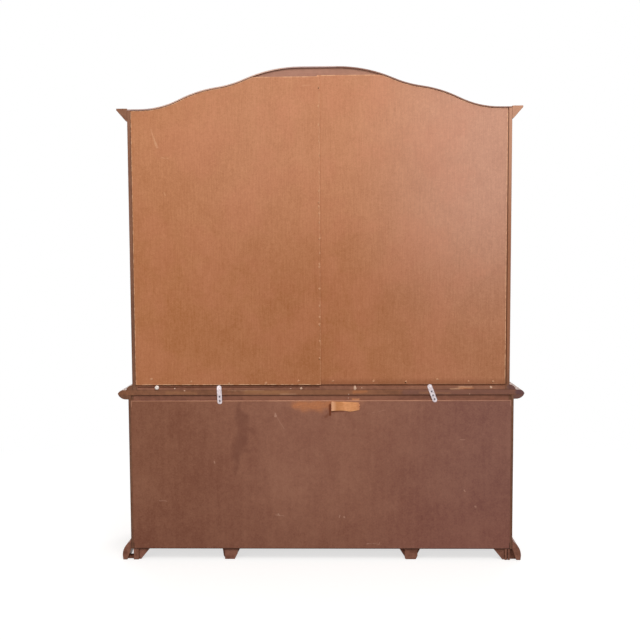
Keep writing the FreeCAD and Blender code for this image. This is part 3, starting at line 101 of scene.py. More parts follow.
class Nodes:
    """A node tree, with short words for its nodes."""

    def __init__(self, tree):
        self.tree = tree
        tree.nodes.clear()

    def feed(self, socket, value):
        if isinstance(value, bpy.types.NodeSocket):
            self.tree.links.new(value, socket)
        elif value is not None:
            socket.default_value = value

    def node(self, kind, sockets=(), **settings):
        made = self.tree.nodes.new(kind)
        for setting, value in settings.items():
            setattr(made, setting, value)
        for key, value in dict(sockets).items():
            self.feed(made.inputs[key], value)
        return made

    def place(self):
        return self.node("ShaderNodeTexCoord").outputs["Object"]

    def parts(self, place):
        return self.node("ShaderNodeSeparateXYZ", {0: place}).outputs

    def wobbled(self, place, scale, reach):
        """The place seen square to the back, pushed about by noise."""
        flat = self.vector("MULTIPLY", place, (1, 0, 1))
        push = self.vector("SUBTRACT", self.noise(place, scale, 4.0, part="Color"), (0.5, 0.5, 0.5))
        return self.vector("ADD", flat, self.vector("SCALE", push, scale=reach))

    def attribute(self, name, kind="Fac"):
        return self.node("ShaderNodeAttribute", attribute_name=name).outputs[kind]

    def vector(self, operation, first, second=None, scale=None, kind="Vector"):
        made = self.node("ShaderNodeVectorMath", {0: first}, operation=operation)
        self.feed(made.inputs[1], second)
        if scale is not None:
            self.feed(made.inputs["Scale"], scale)
        return made.outputs[kind]

    def strokes(self, place, strokes, soft):
        """A mask over lines (x, z, x, z, half widths) drawn on the back."""
        return self.most(*(self.stroke(place, (x0, 0, z0), (x1, 0, z1), w0, w1, soft)
                           for x0, z0, x1, z1, w0, w1 in strokes))

    def math(self, operation, first, second=None, third=None):
        made = self.node("ShaderNodeMath", {0: first}, operation=operation)
        self.feed(made.inputs[1], second)
        self.feed(made.inputs[2], third)
        return made.outputs[0]

    def times(self, first, second):
        return self.math("MULTIPLY", first, second)

    def layered(self, layers):
        """A tone about 0.5: each layer adds its distance from 0.5, times its weight."""
        tone = 0.5
        for layer, weight in layers:
            tone = self.math("MULTIPLY_ADD", self.math("SUBTRACT", layer, 0.5), weight, tone)
        return tone

    def noise(self, place, scale, detail=2.0, rough=0.5, stretch=None, twist=0.0, part="Fac"):
        if stretch:
            place = self.vector("MULTIPLY", place, stretch)
        return self.node("ShaderNodeTexNoise", {"Vector": place, "Scale": scale, "Detail": detail,
                                                "Roughness": rough, "Distortion": twist}).outputs[part]

    def ramp(self, value, low, high, first=0.0, last=1.0):
        """A smooth step from first to last as the value goes from low to high."""
        return self.node("ShaderNodeMapRange", {"Value": value, "From Min": low, "From Max": high,
                                                "To Min": first, "To Max": last},
                         interpolation_type="SMOOTHSTEP").outputs[0]

    def mix(self, share, first, second, blend="MIX"):
        made = self.node("ShaderNodeMix", data_type="RGBA", blend_type=blend)
        self.feed(made.inputs[0], share)
        self.feed(made.inputs[6], first)
        self.feed(made.inputs[7], second)
        return made.outputs[2]

    def most(self, *values):
        """The highest of several masks."""
        best = values[0]
        for value in values[1:]:
            best = self.math("MAXIMUM", best, value)
        return best

    def stroke(self, place, start, end, first, last, soft):
        """A mask round a line from start to end, first and last its half widths there."""
        start, end = Vector(start), Vector(end)
        way = end - start
        offset = self.vector("SUBTRACT", place, tuple(start))
        along = self.math("DIVIDE", self.vector("DOT_PRODUCT", offset, tuple(way), kind="Value"),
                          way.length_squared)
        along = self.node("ShaderNodeClamp", {0: along}).outputs[0]
        nearest = self.vector("SCALE", tuple(way), scale=along)
        distance = self.vector("LENGTH", self.vector("SUBTRACT", offset, nearest), kind="Value")
        past = self.math("SUBTRACT", distance, self.math("MULTIPLY_ADD", along, last - first, first))
        return self.ramp(past, -soft, soft, 1.0, 0.0)

    def seen(self):
        """1 for rays that show the background itself: to the camera, in gloss and through glass."""
        path = self.node("ShaderNodeLightPath").outputs
        return self.most(path["Is Camera Ray"], path["Is Glossy Ray"], path["Is Transmission Ray"])


class Paint(Nodes):
    """One material. Values for its shader's sockets are given by name."""

    def __init__(self, name, **values):
        self.material = bpy.data.materials.new(name)
        self.material.use_nodes = True
        super().__init__(self.material.node_tree)
        self.out = self.node("ShaderNodeOutputMaterial")
        self.shader = self.node("ShaderNodeBsdfPrincipled")
        self.feed(self.out.inputs["Surface"], self.shader.outputs[0])
        for socket, value in values.items():
            self.feed(self.shader.inputs[socket.replace("_", " ")], value)

    def bump(self, height, strength, depth):
        made = self.node("ShaderNodeBump", {"Height": height, "Strength": strength, "Distance": depth})
        self.feed(self.shader.inputs["Normal"], made.outputs[0])

    def colour(self, value):
        self.feed(self.shader.inputs["Base Color"], value)

    def rough(self, value):
        self.feed(self.shader.inputs["Roughness"], value)


# Where the lapping sheet ends, and the lower edge of the sheet behind it.
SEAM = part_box("back_sheet_right")[0][0]
BEHIND_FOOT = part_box("back_sheet_left")[0][2]
# Lighter tones of the rear faces on the -X side of the hutch, low and high up: painted light from that side.
SIDE_LIGHT_TONES = (srgb(168, 112, 82), srgb(214, 162, 134))


def wood(name, light, dark, pore, coat, gloss, rear=None, high=None, figure=1.0, pores=0.5, smears_and_shadows=()):
    """Stained or bare wood. The grain runs along the first axis of the piece's grain places.

    rear and high are the light and dark tones of rear faces, low and high up on the object; the high tones
    are lighter as painted light from above.
    """
    paint = Paint(name, Specular_IOR_Level=0.2, Coat_Roughness=0.34)
    grain = paint.attribute("grain", "Vector")
    slow = paint.noise(grain, 1.0, 3.0, 0.55, (1.3, 11, 11), 0.4)
    rings = paint.node("ShaderNodeTexWave", {
        "Vector": paint.vector("MULTIPLY", grain, (0.07, 1, 1)), "Scale": 30.0, "Distortion": 3.0,
        "Detail": 2.0, "Detail Scale": 1.4}, wave_type="RINGS", rings_direction="X").outputs["Fac"]
    streak = paint.noise(grain, 1.0, 4.0, 0.65, (3.5, 95, 95))
    fine = paint.noise(grain, 1.0, 2.0, 0.5, (40, 1300, 1300))
    tone = paint.layered(((slow, 0.9 * figure), (rings, 0.2 * figure), (streak, 0.7 * figure),
                          (paint.attribute("board"), 0.3)))
    tone = paint.node("ShaderNodeClamp", {0: tone}).outputs[0]
    colour = paint.mix(tone, dark, light)
    colour = paint.mix(paint.ramp(fine, 0.56, 0.72, 0.0, pores), colour, pore)
    rub = paint.times(paint.attribute("wear_and_painted_light"), paint.ramp(slow, 0.45, 0.65, 0.05, 0.4))
    colour = paint.mix(rub, colour, paint.mix(0.45, colour, srgb(196, 150, 112)))
    shine = paint.ramp(streak, 0.3, 0.7, gloss - 0.05, gloss + 0.08)
    if rear:
        # Rear faces and cut ends never got the finish: the stain there is flat and dusty.
        place = paint.place()
        across, _, height = paint.parts(place)
        back = paint.attribute("rear")
        dust = paint.noise(grain, 1.0, 4.0, 0.62, (5, 45, 45))
        mottle = paint.noise(place, 55.0, 3.0, 0.6)
        cover = paint.ramp(paint.mix(0.45, dust, mottle), 0.34, 0.66)
        raw = paint.mix(cover, rear[0], rear[1])
        if high:
            # Painted light from above: rear faces shift to the lighter high tones going up.
            raw = paint.mix(paint.ramp(height, 0.8, 1.75), raw, paint.mix(cover, high[0], high[1]))
        # Painted light: rear faces turn to the lighter side tones towards -X and higher up.
        side_light = paint.times(paint.ramp(across, 0.1, -0.74), paint.ramp(height, 0.67, 0.85, 0.0, 0.72))
        raw = paint.mix(side_light, raw, paint.mix(paint.ramp(height, 1.2, 1.8), *SIDE_LIGHT_TONES))
        for tint, marks, share, soft in smears_and_shadows:
            mask = paint.strokes(paint.wobbled(place, 60.0, 2 * soft), marks, soft)
            raw = paint.mix(paint.times(mask, share), raw, tint)
        # Bevelled edges of rear faces are darker.
        raw = paint.mix(paint.times(paint.attribute("wear_and_painted_light"), 0.3), raw, srgb(92, 58, 44))
        # Painted shade in the recess behind the sheets' lower edges, strongest towards +X under the proud
        # sheet.
        recess_shade = paint.times(paint.attribute("recess_shade"), paint.ramp(across, SEAM - 0.004, SEAM, 0.4, 1.0))
        raw = paint.mix(recess_shade, raw, srgb(84, 46, 28))
        colour = paint.mix(back, colour, raw)
        shine = paint.math("MULTIPLY_ADD", back, 0.4, shine)
        if coat:
            coat = paint.math("MULTIPLY_ADD", back, -coat, coat)
    paint.feed(paint.shader.inputs["Coat Weight"], coat)
    paint.colour(colour)
    paint.rough(shine)
    paint.bump(paint.mix(0.6, streak, fine), 0.16, 0.0006)
    return paint.material


REAR_STAIN = (srgb(134, 94, 73), srgb(112, 75, 58))
# The rear stain high up, lighter as painted light from above.
HIGH_STAIN_AND_LIGHT = (srgb(150, 106, 84), srgb(126, 86, 68))
FINISH = (srgb(152, 93, 60), srgb(94, 52, 34), srgb(52, 28, 20), 0.2, 0.45)
# Smears and painted shadows are a tint, strokes (x, z, x, z, half widths), a share and the softness of the
# strokes' edges.
BLURRED = 0.006
# Dark lines along the outer rear edges of the base's sides, and dark tints on the mouldings' ends on one
# side.
EDGE_DARKENING = (
    (srgb(80, 50, 42), ((0.7742, 0.05, 0.7742, 0.66, 0.0012, 0.0012),
                        (-0.7738, 0.05, -0.7738, 0.66, 0.0016, 0.0016)), 0.7, BLURRED),
    (srgb(110, 78, 76), ((-0.784, 0.669, -0.812, 0.670, 0.010, 0.008),
                         (-0.760, 0.708, -0.782, 0.706, 0.012, 0.010)), 0.8, BLURRED),
)
CABINET = wood("cabinet_wood", *FINISH, REAR_STAIN, HIGH_STAIN_AND_LIGHT, smears_and_shadows=EDGE_DARKENING)
# Rubbed and smeared places on the rear edge of the base's top.
TOP_SMEARS = (
    (srgb(160, 110, 80), ((0.30, 0.689, -0.20, 0.689, 0.012, 0.012),), 0.3, BLURRED),
    (srgb(128, 88, 80), ((-0.34, 0.689, -0.78, 0.689, 0.012, 0.012),), 0.6, BLURRED),
    (srgb(104, 74, 76), ((-0.795, 0.688, -0.820, 0.688, 0.014, 0.014),), 0.9, BLURRED),
    (srgb(180, 116, 76), ((-0.135, 0.689, -0.186, 0.690, 0.006, 0.004),), 0.85, BLURRED),
    (srgb(172, 122, 84), ((0.300, 0.690, 0.130, 0.686, 0.007, 0.006),
                          (-0.40, 0.686, -0.52, 0.684, 0.003, 0.002),
                          (0.62, 0.688, 0.50, 0.684, 0.004, 0.003)), 0.45, BLURRED),
    (srgb(196, 150, 120), ((0.370, 0.6965, 0.230, 0.6965, 0.001, 0.0008),
                           (0.160, 0.681, 0.100, 0.680, 0.001, 0.0008)), 0.7, BLURRED),
)
# A painted shadow under the proud sheet, and rubbed places, on the hutch's lowest rail.
RAIL_SHADOW_AND_RUBS = (
    (srgb(66, 26, 8), ((0.735, 0.7100, 0.004, 0.7100, 0.0020, 0.0020),), 0.95, 0.0015),
    (srgb(180, 132, 108), ((-0.36, 0.706, -0.70, 0.706, 0.006, 0.005),), 0.1, BLURRED),
    (srgb(236, 186, 150), ((-0.524, 0.7000, -0.572, 0.7012, 0.0018, 0.0010),
                           (-0.556, 0.7078, -0.604, 0.7092, 0.0018, 0.0010)), 0.85, BLURRED),
    (srgb(196, 126, 82), ((-0.560, 0.7035, -0.612, 0.7045, 0.0030, 0.0018),), 0.7, BLURRED),
)
# The rail under the base's top: paler in the middle, with orange dust over the torn place.
BASE_RAIL_SMEARS = (
    (srgb(176, 120, 94), ((0.30, 0.665, -0.30, 0.665, 0.012, 0.012),), 0.25, BLURRED),
    (srgb(230, 160, 112), ((-0.132, 0.657, -0.156, 0.658, 0.004, 0.003),), 0.7, BLURRED),
)
# The roof's rear edge: pale on one side, dark on the other.
ROOF_SMEARS = (
    (srgb(226, 186, 166), ((0.20, 1.95, 0.62, 1.86, 0.06, 0.06),), 0.6, BLURRED),
    (srgb(150, 112, 100), ((-0.75, 1.86, -0.15, 1.97, 0.08, 0.08),), 0.8, BLURRED),
)
# Painted shadow: a dark band along the tops of the feet, under the base's back panel.
FOOT_TOP_SHADOW = ((srgb(70, 38, 28), ((0.76, 0.0452, -0.76, 0.0452, 0.0016, 0.0016),), 0.8, BLURRED),)
TOP_WOOD = wood("top_wood", *FINISH, (srgb(150, 101, 75), srgb(124, 82, 61)), smears_and_shadows=TOP_SMEARS)
# The rail's high tones are lighter as painted light from above.
RAIL_WOOD = wood("rail_wood", *FINISH, (srgb(158, 108, 86), srgb(132, 87, 69)),
                 (srgb(178, 132, 114), srgb(164, 120, 103)), smears_and_shadows=RAIL_SHADOW_AND_RUBS)
BASE_RAIL_WOOD = wood("base_rail_wood", *FINISH, (srgb(146, 98, 79), srgb(126, 82, 67)),
                      smears_and_shadows=BASE_RAIL_SMEARS)
# The bent roof is bare and dull: nobody sees it from above.
ROOF_WOOD = wood("roof_wood", *FINISH[:3], 0.0, 0.66, (srgb(206, 178, 172), srgb(180, 150, 144)),
                 smears_and_shadows=ROOF_SMEARS)
FOOT_WOOD = wood("foot_wood", *FINISH, (srgb(152, 104, 86), srgb(116, 74, 59)), smears_and_shadows=FOOT_TOP_SHADOW)
LIGHT_WOOD = wood("drawer_wood", srgb(206, 172, 128), srgb(172, 134, 92), srgb(140, 104, 70), 0.0, 0.6,
                  figure=0.9, pores=0.35)
CARCASE = wood("carcase_wood", srgb(156, 108, 74), srgb(118, 78, 52), srgb(78, 48, 34), 0.0, 0.55,
               REAR_STAIN, pores=0.4)

# Tones of the hutch's back: low, high, and towards +X and -X; the high and -X tones are lighter, painted
# light from above and from -X.
SHEET_LOW, SHEET_HIGH = srgb(176, 110, 66), srgb(201, 138, 101)
SHEET_GOLDEN, SHEET_SIDE_LIGHT = srgb(192, 122, 70), srgb(220, 174, 158)
# Light scratches on the hutch's back, as strokes (x, z, x, z, half widths).
SHEET_SCRATCHES = (
    (0.665, 1.738, 0.652, 1.695, 0.0015, 0.0022), (0.652, 1.695, 0.641, 1.665, 0.003, 0.004),
    (0.626, 1.625, 0.598, 1.623, 0.002, 0.0012), (0.616, 1.487, 0.612, 1.479, 0.002, 0.002),
    (0.064, 1.902, 0.034, 1.903, 0.0012, 0.001),
)


def hardboard():
    """Bare hardboard: a fine fibrous face with cloudy tones, lighter high up and towards one side as painted
    light.
    """
    paint = Paint("hardboard", Specular_IOR_Level=0.12)
    place = paint.place()
    across, _, height = paint.parts(place)
    cloud = paint.noise(place, 2.4, 3.0, 0.55)
    patch = paint.noise(place, 14.0, 4.0, 0.6)
    mottle = paint.noise(place, 62.0, 3.0, 0.6)
    speck = paint.noise(place, 150.0, 3.0, 0.65, twist=0.6)
    fleck = paint.noise(place, 420.0, 2.0, 0.6, twist=1.2)
    fibre = paint.noise(place, 1.0, 2.0, 0.6, (900, 1, 240))
    brushed = paint.noise(place, 1.0, 3.0, 0.6, (230, 1, 13))
    # Painted light: the sheets turn lighter going up, and lighter and pinker towards -X higher up.
    colour = paint.mix(paint.ramp(height, 1.0, 1.78), SHEET_LOW, SHEET_HIGH)
    colour = paint.mix(paint.ramp(across, 0.2, 0.75, 0.0, 0.4), colour, SHEET_GOLDEN)
    sheet_side_light = paint.times(paint.ramp(across, -0.02, -0.72), paint.ramp(height, 0.8, 1.5, 0.12, 0.6))
    colour = paint.mix(sheet_side_light, colour, SHEET_SIDE_LIGHT)
    shade = paint.layered(((cloud, 0.3), (patch, 0.26), (mottle, 0.26), (brushed, 0.4), (speck, 0.5),
                           (fleck, 0.6)))
    colour = paint.mix(paint.ramp(shade, 0.12, 0.88), paint.mix(0.3, colour, srgb(118, 62, 36)),
                       paint.mix(0.22, colour, srgb(238, 184, 150)))
    blush = paint.ramp(paint.noise(place, 5.0, 3.0, 0.6), 0.42, 0.64, 0.0, 0.3)
    colour = paint.mix(blush, colour, paint.mix(0.5, colour, srgb(206, 128, 104)))
    near = paint.wobbled(place, 70.0, 0.006)
    scratches = paint.strokes(near, SHEET_SCRATCHES, 0.0035)
    scratches = paint.times(scratches, paint.ramp(speck, 0.3, 0.65, 0.1, 0.5))
    colour = paint.mix(scratches, colour, srgb(226, 180, 142))
    # A pale border round the sheets' rear faces: ragged fibre, and a painted highlight where their edges
    # catch the light.
    frayed_and_lit_border = paint.times(paint.attribute("wear_and_painted_light"), paint.ramp(mottle, 0.4, 0.62, 0.2, 0.85))
    off_seam = paint.math("ABSOLUTE", paint.math("SUBTRACT", across, SEAM))
    frayed_and_lit_border = paint.times(frayed_and_lit_border, paint.ramp(off_seam, 0.004, 0.010, 0.35, 1.0))
    # The sheet behind is darker along its lower edge: painted shade.
    behind = paint.ramp(across, SEAM, SEAM - 0.001)
    dull = paint.times(behind, paint.ramp(height, BEHIND_FOOT + 0.03, BEHIND_FOOT + 0.003, 0.0, 0.4))
    colour = paint.mix(dull, colour, srgb(124, 72, 46))
    low_edge = paint.times(behind, paint.ramp(height, BEHIND_FOOT + 0.006, BEHIND_FOOT + 0.004))
    frayed_and_lit_border = paint.times(frayed_and_lit_border, paint.math("MULTIPLY_ADD", low_edge, -0.85, 1.0))
    colour = paint.mix(frayed_and_lit_border, colour, srgb(238, 190, 152))
    paint.colour(colour)
    paint.rough(paint.ramp(speck, 0.3, 0.7, 0.66, 0.82))
    paint.bump(paint.mix(0.5, speck, fibre), 0.25, 0.0005)
    return paint.material


HARDBOARD = hardboard()

# Liquid stain on the base's back, as strokes (x, z, x, z, half widths).
STAIN = (
    (0.327, 0.650, 0.331, 0.616, 0.008, 0.010), (0.331, 0.616, 0.316, 0.575, 0.012, 0.030),
    (0.316, 0.575, 0.310, 0.535, 0.030, 0.020), (0.300, 0.545, 0.270, 0.524, 0.014, 0.005),
    (0.310, 0.535, 0.323, 0.485, 0.020, 0.027), (0.323, 0.485, 0.343, 0.432, 0.027, 0.018),
    (0.305, 0.455, 0.291, 0.449, 0.008, 0.004), (0.343, 0.432, 0.338, 0.398, 0.018, 0.008),
    (0.338, 0.398, 0.347, 0.360, 0.007, 0.004),
)
# Small light scuffs on the base's back, likewise.
PANEL_SCUFFS = (
    (0.181, 0.606, 0.180, 0.592, 0.001, 0.006),
    (-0.565, 0.494, -0.581, 0.493, 0.002, 0.001),
    (0.172, 0.190, 0.168, 0.186, 0.003, 0.002), (0.185, 0.186, 0.150, 0.182, 0.0015, 0.001),
    (-0.075, 0.176, -0.078, 0.184, 0.002, 0.002), (-0.095, 0.179, -0.098, 0.176, 0.003, 0.002),
    (-0.187, 0.068, -0.236, 0.066, 0.0015, 0.001), (-0.236, 0.066, -0.240, 0.074, 0.0015, 0.001),
    (-0.580, 0.288, -0.583, 0.282, 0.003, 0.002), (-0.625, 0.222, -0.628, 0.217, 0.003, 0.002),
    (0.655, 0.245, 0.625, 0.243, 0.002, 0.001), (0.430, 0.405, 0.428, 0.400, 0.003, 0.002),
)
PANEL_LINES = ((0.176, 0.588, 0.146, 0.540, 0.0012, 0.001), (-0.190, 0.600, -0.262, 0.616, 0.001, 0.001))
# The places where the painted skin has come off.
BARE = ((0.098, 0.637, -0.046, 0.638, 0.014, 0.019), (0.070, 0.628, 0.000, 0.626, 0.011, 0.011))
BARE_DUST = ((0.112, 0.642, -0.165, 0.650, 0.013, 0.008), (0.080, 0.616, 0.0, 0.614, 0.008, 0.008))
# Painted shadows beside and below the folded skin, strong and faint.
TORN_SHADE = ((-0.0395, 0.636, -0.0390, 0.597, 0.0055, 0.0045),
              (-0.042, 0.6084, -0.094, 0.6100, 0.0022, 0.0010))
FAINT_SHADE = ((-0.038, 0.604, -0.022, 0.588, 0.0040, 0.0050), (-0.108, 0.609, -0.100, 0.592, 0.0014, 0.0010))


def painted_panel():
    """Hardboard under a flat red-brown stain, with a run of liquid and a torn bare patch."""
    paint = Paint("stained_hardboard", Specular_IOR_Level=0.15)
    place = paint.place()
    across, _, height = paint.parts(place)
    foot, top = (corner[2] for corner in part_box("base_back_panel"))
    cloud = paint.noise(place, 2.6, 3.0, 0.55)
    patch = paint.noise(place, 12.0, 4.0, 0.62)
    mottle = paint.noise(place, 58.0, 3.0, 0.6)
    streak = paint.noise(place, 1.0, 4.0, 0.6, (60, 1, 5))
    speck = paint.noise(place, 170.0, 3.0, 0.65, twist=0.6)
    wide = paint.mix(paint.ramp(across, -0.7, -0.1), srgb(140, 92, 84), srgb(159, 106, 87))
    wide = paint.mix(paint.ramp(across, 0.05, 0.7), wide, srgb(140, 87, 65))
    low_tone = paint.mix(paint.ramp(across, -0.6, 0.1), srgb(131, 72, 68), srgb(125, 71, 56))
    wide = paint.mix(paint.ramp(height, 0.04, 0.4, 0.55, 0.0), wide, low_tone)
    shade = paint.layered(((cloud, 0.5), (patch, 0.36), (mottle, 0.3), (streak, 0.25), (speck, 0.6)))
    colour = paint.mix(paint.ramp(shade, 0.12, 0.88), paint.mix(0.4, wide, srgb(86, 46, 36)),
                       paint.mix(0.36, wide, srgb(176, 132, 106)))
    near = paint.wobbled(place, 26.0, 0.026)
    stain = paint.strokes(near, STAIN, 0.013)
    colour = paint.mix(paint.times(stain, paint.ramp(patch, 0.3, 0.7, 0.26, 0.46)), colour,
                       srgb(100, 56, 46))
    scuffs = paint.times(paint.strokes(paint.wobbled(place, 60.0, 0.01), PANEL_SCUFFS, 0.002), 0.5)
    lines = paint.strokes(paint.wobbled(place, 60.0, 0.003), PANEL_LINES, 0.002)
    scuffs = paint.most(scuffs, paint.times(lines, paint.ramp(mottle, 0.3, 0.7, 0.0, 0.4)))
    colour = paint.mix(scuffs, colour, srgb(204, 160, 138))
    fibres = paint.noise(place, 1.0, 3.0, 0.6, (30, 1, 220))
    dusted = paint.times(paint.strokes(near, BARE_DUST, 0.016), paint.ramp(fibres, 0.3, 0.7, 0.15, 0.45))
    colour = paint.mix(dusted, colour, srgb(186, 124, 92))
    bare = paint.times(paint.strokes(near, BARE, 0.014), paint.ramp(fibres, 0.25, 0.6, 0.5, 0.95))
    colour = paint.mix(bare, colour, paint.mix(speck, srgb(176, 104, 62), srgb(208, 140, 98)))
    fine_place = paint.wobbled(place, 90.0, 0.004)
    # Painted shadow of the folded skin on the panel.
    shadowed = paint.most(paint.times(paint.strokes(fine_place, TORN_SHADE, 0.003), 0.9),
                          paint.times(paint.strokes(fine_place, FAINT_SHADE, 0.005), 0.4))
    colour = paint.mix(shadowed, colour, srgb(108, 50, 24))
    edge = paint.attribute("wear_and_painted_light")
    # A pale line along the panel's top edge: bare fibre, and a painted highlight of the edge catching the
    # light.
    off_middle = paint.math("ABSOLUTE", paint.math("ADD", across, 0.02))
    chafed_and_lit = paint.times(paint.ramp(off_middle, 0.15, 0.7, 0.95, 0.6), paint.ramp(patch, 0.3, 0.6, 0.6, 1.0))
    chafed_and_lit = paint.times(paint.times(edge, chafed_and_lit), paint.ramp(height, top - 0.03, top - 0.02))
    colour = paint.mix(chafed_and_lit, colour, srgb(204, 150, 122))
    # Painted shade: a dark line along the panel's lower edge.
    foot_shade = paint.times(edge, paint.ramp(height, foot + 0.03, foot + 0.02))
    colour = paint.mix(paint.times(foot_shade, 0.8), colour, srgb(62, 40, 34))
    paint.colour(colour)
    paint.rough(paint.ramp(speck, 0.3, 0.7, 0.58, 0.76))
    paint.bump(paint.mix(0.5, speck, streak), 0.2, 0.0005)
    return paint.material


PANEL = painted_panel()


def metal(name, light, dark, low, high, grain):
    paint = Paint(name, Metallic=1.0)
    place = paint.place()
    patina = paint.noise(place, grain, 4.0, 0.6)
    fine = paint.noise(place, grain * 14, 2.0, 0.5)
    paint.colour(paint.mix(paint.ramp(patina, 0.35, 0.65), dark, light))
    paint.rough(paint.ramp(patina, 0.3, 0.7, high, low))
    paint.bump(fine, 0.08, 0.0003)
    return paint.material


BRASS = metal("aged_brass", srgb(190, 150, 92), srgb(158, 120, 70), 0.28, 0.46, 90.0)
ZINC = metal("zinc_plate", srgb(228, 216, 219), srgb(192, 180, 184), 0.36, 0.54, 160.0)
STEEL = metal("dark_screw_steel", srgb(136, 130, 138), srgb(96, 92, 100), 0.38, 0.58, 300.0)


def staple_metal():
    paint = Paint("staple_wire", Metallic=0.6, Roughness=0.42)
    place = paint.place()
    paint.colour(paint.mix(paint.noise(place, 300.0), srgb(186, 140, 106), srgb(218, 178, 146)))
    return paint.material


STAPLE = staple_metal()


def plain(name, light, dark, rough, scale, **values):
    """Moulded, painted or torn stuff with a mottled tone."""
    paint = Paint(name, **values)
    place = paint.place()
    mottle = paint.noise(place, scale, 4.0, 0.6)
    paint.colour(paint.mix(paint.ramp(mottle, 0.3, 0.7), dark, light))
    paint.rough(paint.ramp(mottle, 0.3, 0.7, rough - 0.08, rough + 0.08))
    paint.bump(paint.noise(place, scale * 6), 0.15, 0.0004)
    return paint.material


def torn_skin():
    """The torn skin of the panel: fibrous, palest at its fold as a painted highlight, and dull at its loose
    end.
    """
    paint = Paint("torn_fibre", Specular_IOR_Level=0.1)
    place = paint.place()
    across = paint.parts(place)[0]
    mottle = paint.noise(place, 45.0, 3.0, 0.55)
    fibres = paint.noise(place, 1.0, 3.0, 0.6, (70, 1, 420))
    colour = paint.mix(paint.ramp(paint.mix(0.5, mottle, fibres), 0.3, 0.7), srgb(216, 144, 94),
                       srgb(240, 172, 122))
    colour = paint.mix(paint.ramp(across, -0.100, -0.066, 0.0, 0.55), colour, srgb(186, 122, 74))
    # Painted highlight along the fold's crest.
    colour = paint.mix(paint.ramp(across, -0.068, -0.050, 0.0, 0.9), colour, srgb(238, 178, 138))
    colour = paint.mix(paint.ramp(across, -0.138, -0.162, 0.0, 0.5), colour, srgb(186, 118, 92))
    paint.colour(colour)
    paint.rough(paint.ramp(mottle, 0.3, 0.7, 0.78, 0.92))
    paint.bump(fibres, 0.2, 0.0004)
    return paint.material


TORN = torn_skin()
BUMPER = plain("white_rubber", srgb(254, 244, 238), srgb(238, 228, 222), 0.5, 220.0)
CHIP = plain("pale_chip", srgb(228, 194, 170), srgb(200, 158, 132), 0.7, 400.0)
BROKEN = plain("broken_fibre", srgb(218, 164, 126), srgb(190, 130, 92), 0.85, 260.0, Specular_IOR_Level=0.1)
# Dark patches that stand in for the staples' shadows.
STAPLE_SHADE = plain("painted_staple_shade", srgb(96, 54, 34), srgb(64, 36, 24), 0.8, 400.0, Specular_IOR_Level=0.1)


def glass():
    paint = Paint("door_glass", Transmission_Weight=1.0, IOR=1.45, Roughness=0.0)
    paint.colour(srgb(244, 250, 247))
    path = paint.node("ShaderNodeLightPath")
    clear = paint.node("ShaderNodeBsdfTransparent", {0: srgb(240, 246, 243)})
    both = paint.node("ShaderNodeMixShader", {0: path.outputs["Is Shadow Ray"],
                                              1: paint.shader.outputs[0], 2: clear.outputs[0]})
    paint.tree.links.new(both.outputs[0], paint.out.inputs["Surface"])
    return paint.material


GLASS = glass()

# ---------------------------------------------------------------- pieces from the CAD solids


def solids_of(node):
    """The node's solids, each as its points and its triangles."""
    mesh = NODES[node].data
    keys = [tuple(round(part, 6) for part in vertex.co) for vertex in mesh.vertices]
    solids, triangles, open_edges = [], [], {}
    for polygon in mesh.polygons:
        corners = [keys[index] for index in polygon.vertices]
        triangles.append(corners)
        for first, last in zip(corners, corners[1:] + corners[:1]):
            if open_edges.get((last, first), 0):
                open_edges[(last, first)] -= 1
                if not open_edges[(last, first)]:
                    del open_edges[(last, first)]
            else:
                open_edges[(first, last)] = open_edges.get((first, last), 0) + 1
        if not open_edges:
            points = sorted({corner for triangle in triangles for corner in triangle})
            number = {point: index for index, point in enumerate(points)}
            solids.append((points, [[number[c] for c in triangle] for triangle in triangles]))
            triangles = []
    if triangles:
        raise RuntimeError(f"{node} isn't closed")
    return solids


draws = random.Random(7)
AXES = {"x": (0, 1, 2), "y": (1, 0, 2), "z": (2, 0, 1)}
# Ranges of each board's own start in the grain, along it and across.
GRAIN_SHIFTS = ((0, 9), (0.04, 0.3), (0.03, 0.15))
# Below the first angle faces are one, above the second an edge is bevelled, above the third it is sharp.
FLAT_ANGLE, BEVEL_ANGLE, CREASE_ANGLE = math.radians(0.2), math.radians(28), math.radians(32)
EDGE_SOFT, FINE_SOFT, SHEET_SOFT = 0.001, 0.0006, 0.0004
# Widths of the borders round the sheets' and the panel's rear faces, which their materials paint as ragged
# fibre, painted highlight and painted shade.
FRAYED_AND_LIT_BAND, PANEL_EDGE_BAND = 0.0026, 0.003
# A normal's Y is above the first number on a rear face, and below the second on a sheet's rim.
REAR_NORMAL, RIM_NORMAL = 0.7, 0.5
REAR_FROM = 0.18
# Rear faces set in behind the sheets' lower edges, painted dark as shade.
RECESS_DEPTH, RECESS_TOP = 0.2285, 0.73


def smooth_item(name, mesh, material, crease=None):
    """A new object in the scene, smooth but for edges that turn more than the crease angle."""
    mesh.shade_smooth()
    if crease is not None:
        mesh.set_sharp_from_angle(angle=crease)
    mesh.materials.append(material)
    item = bpy.data.objects.new(name, mesh)
    scene.collection.objects.link(item)
    return item


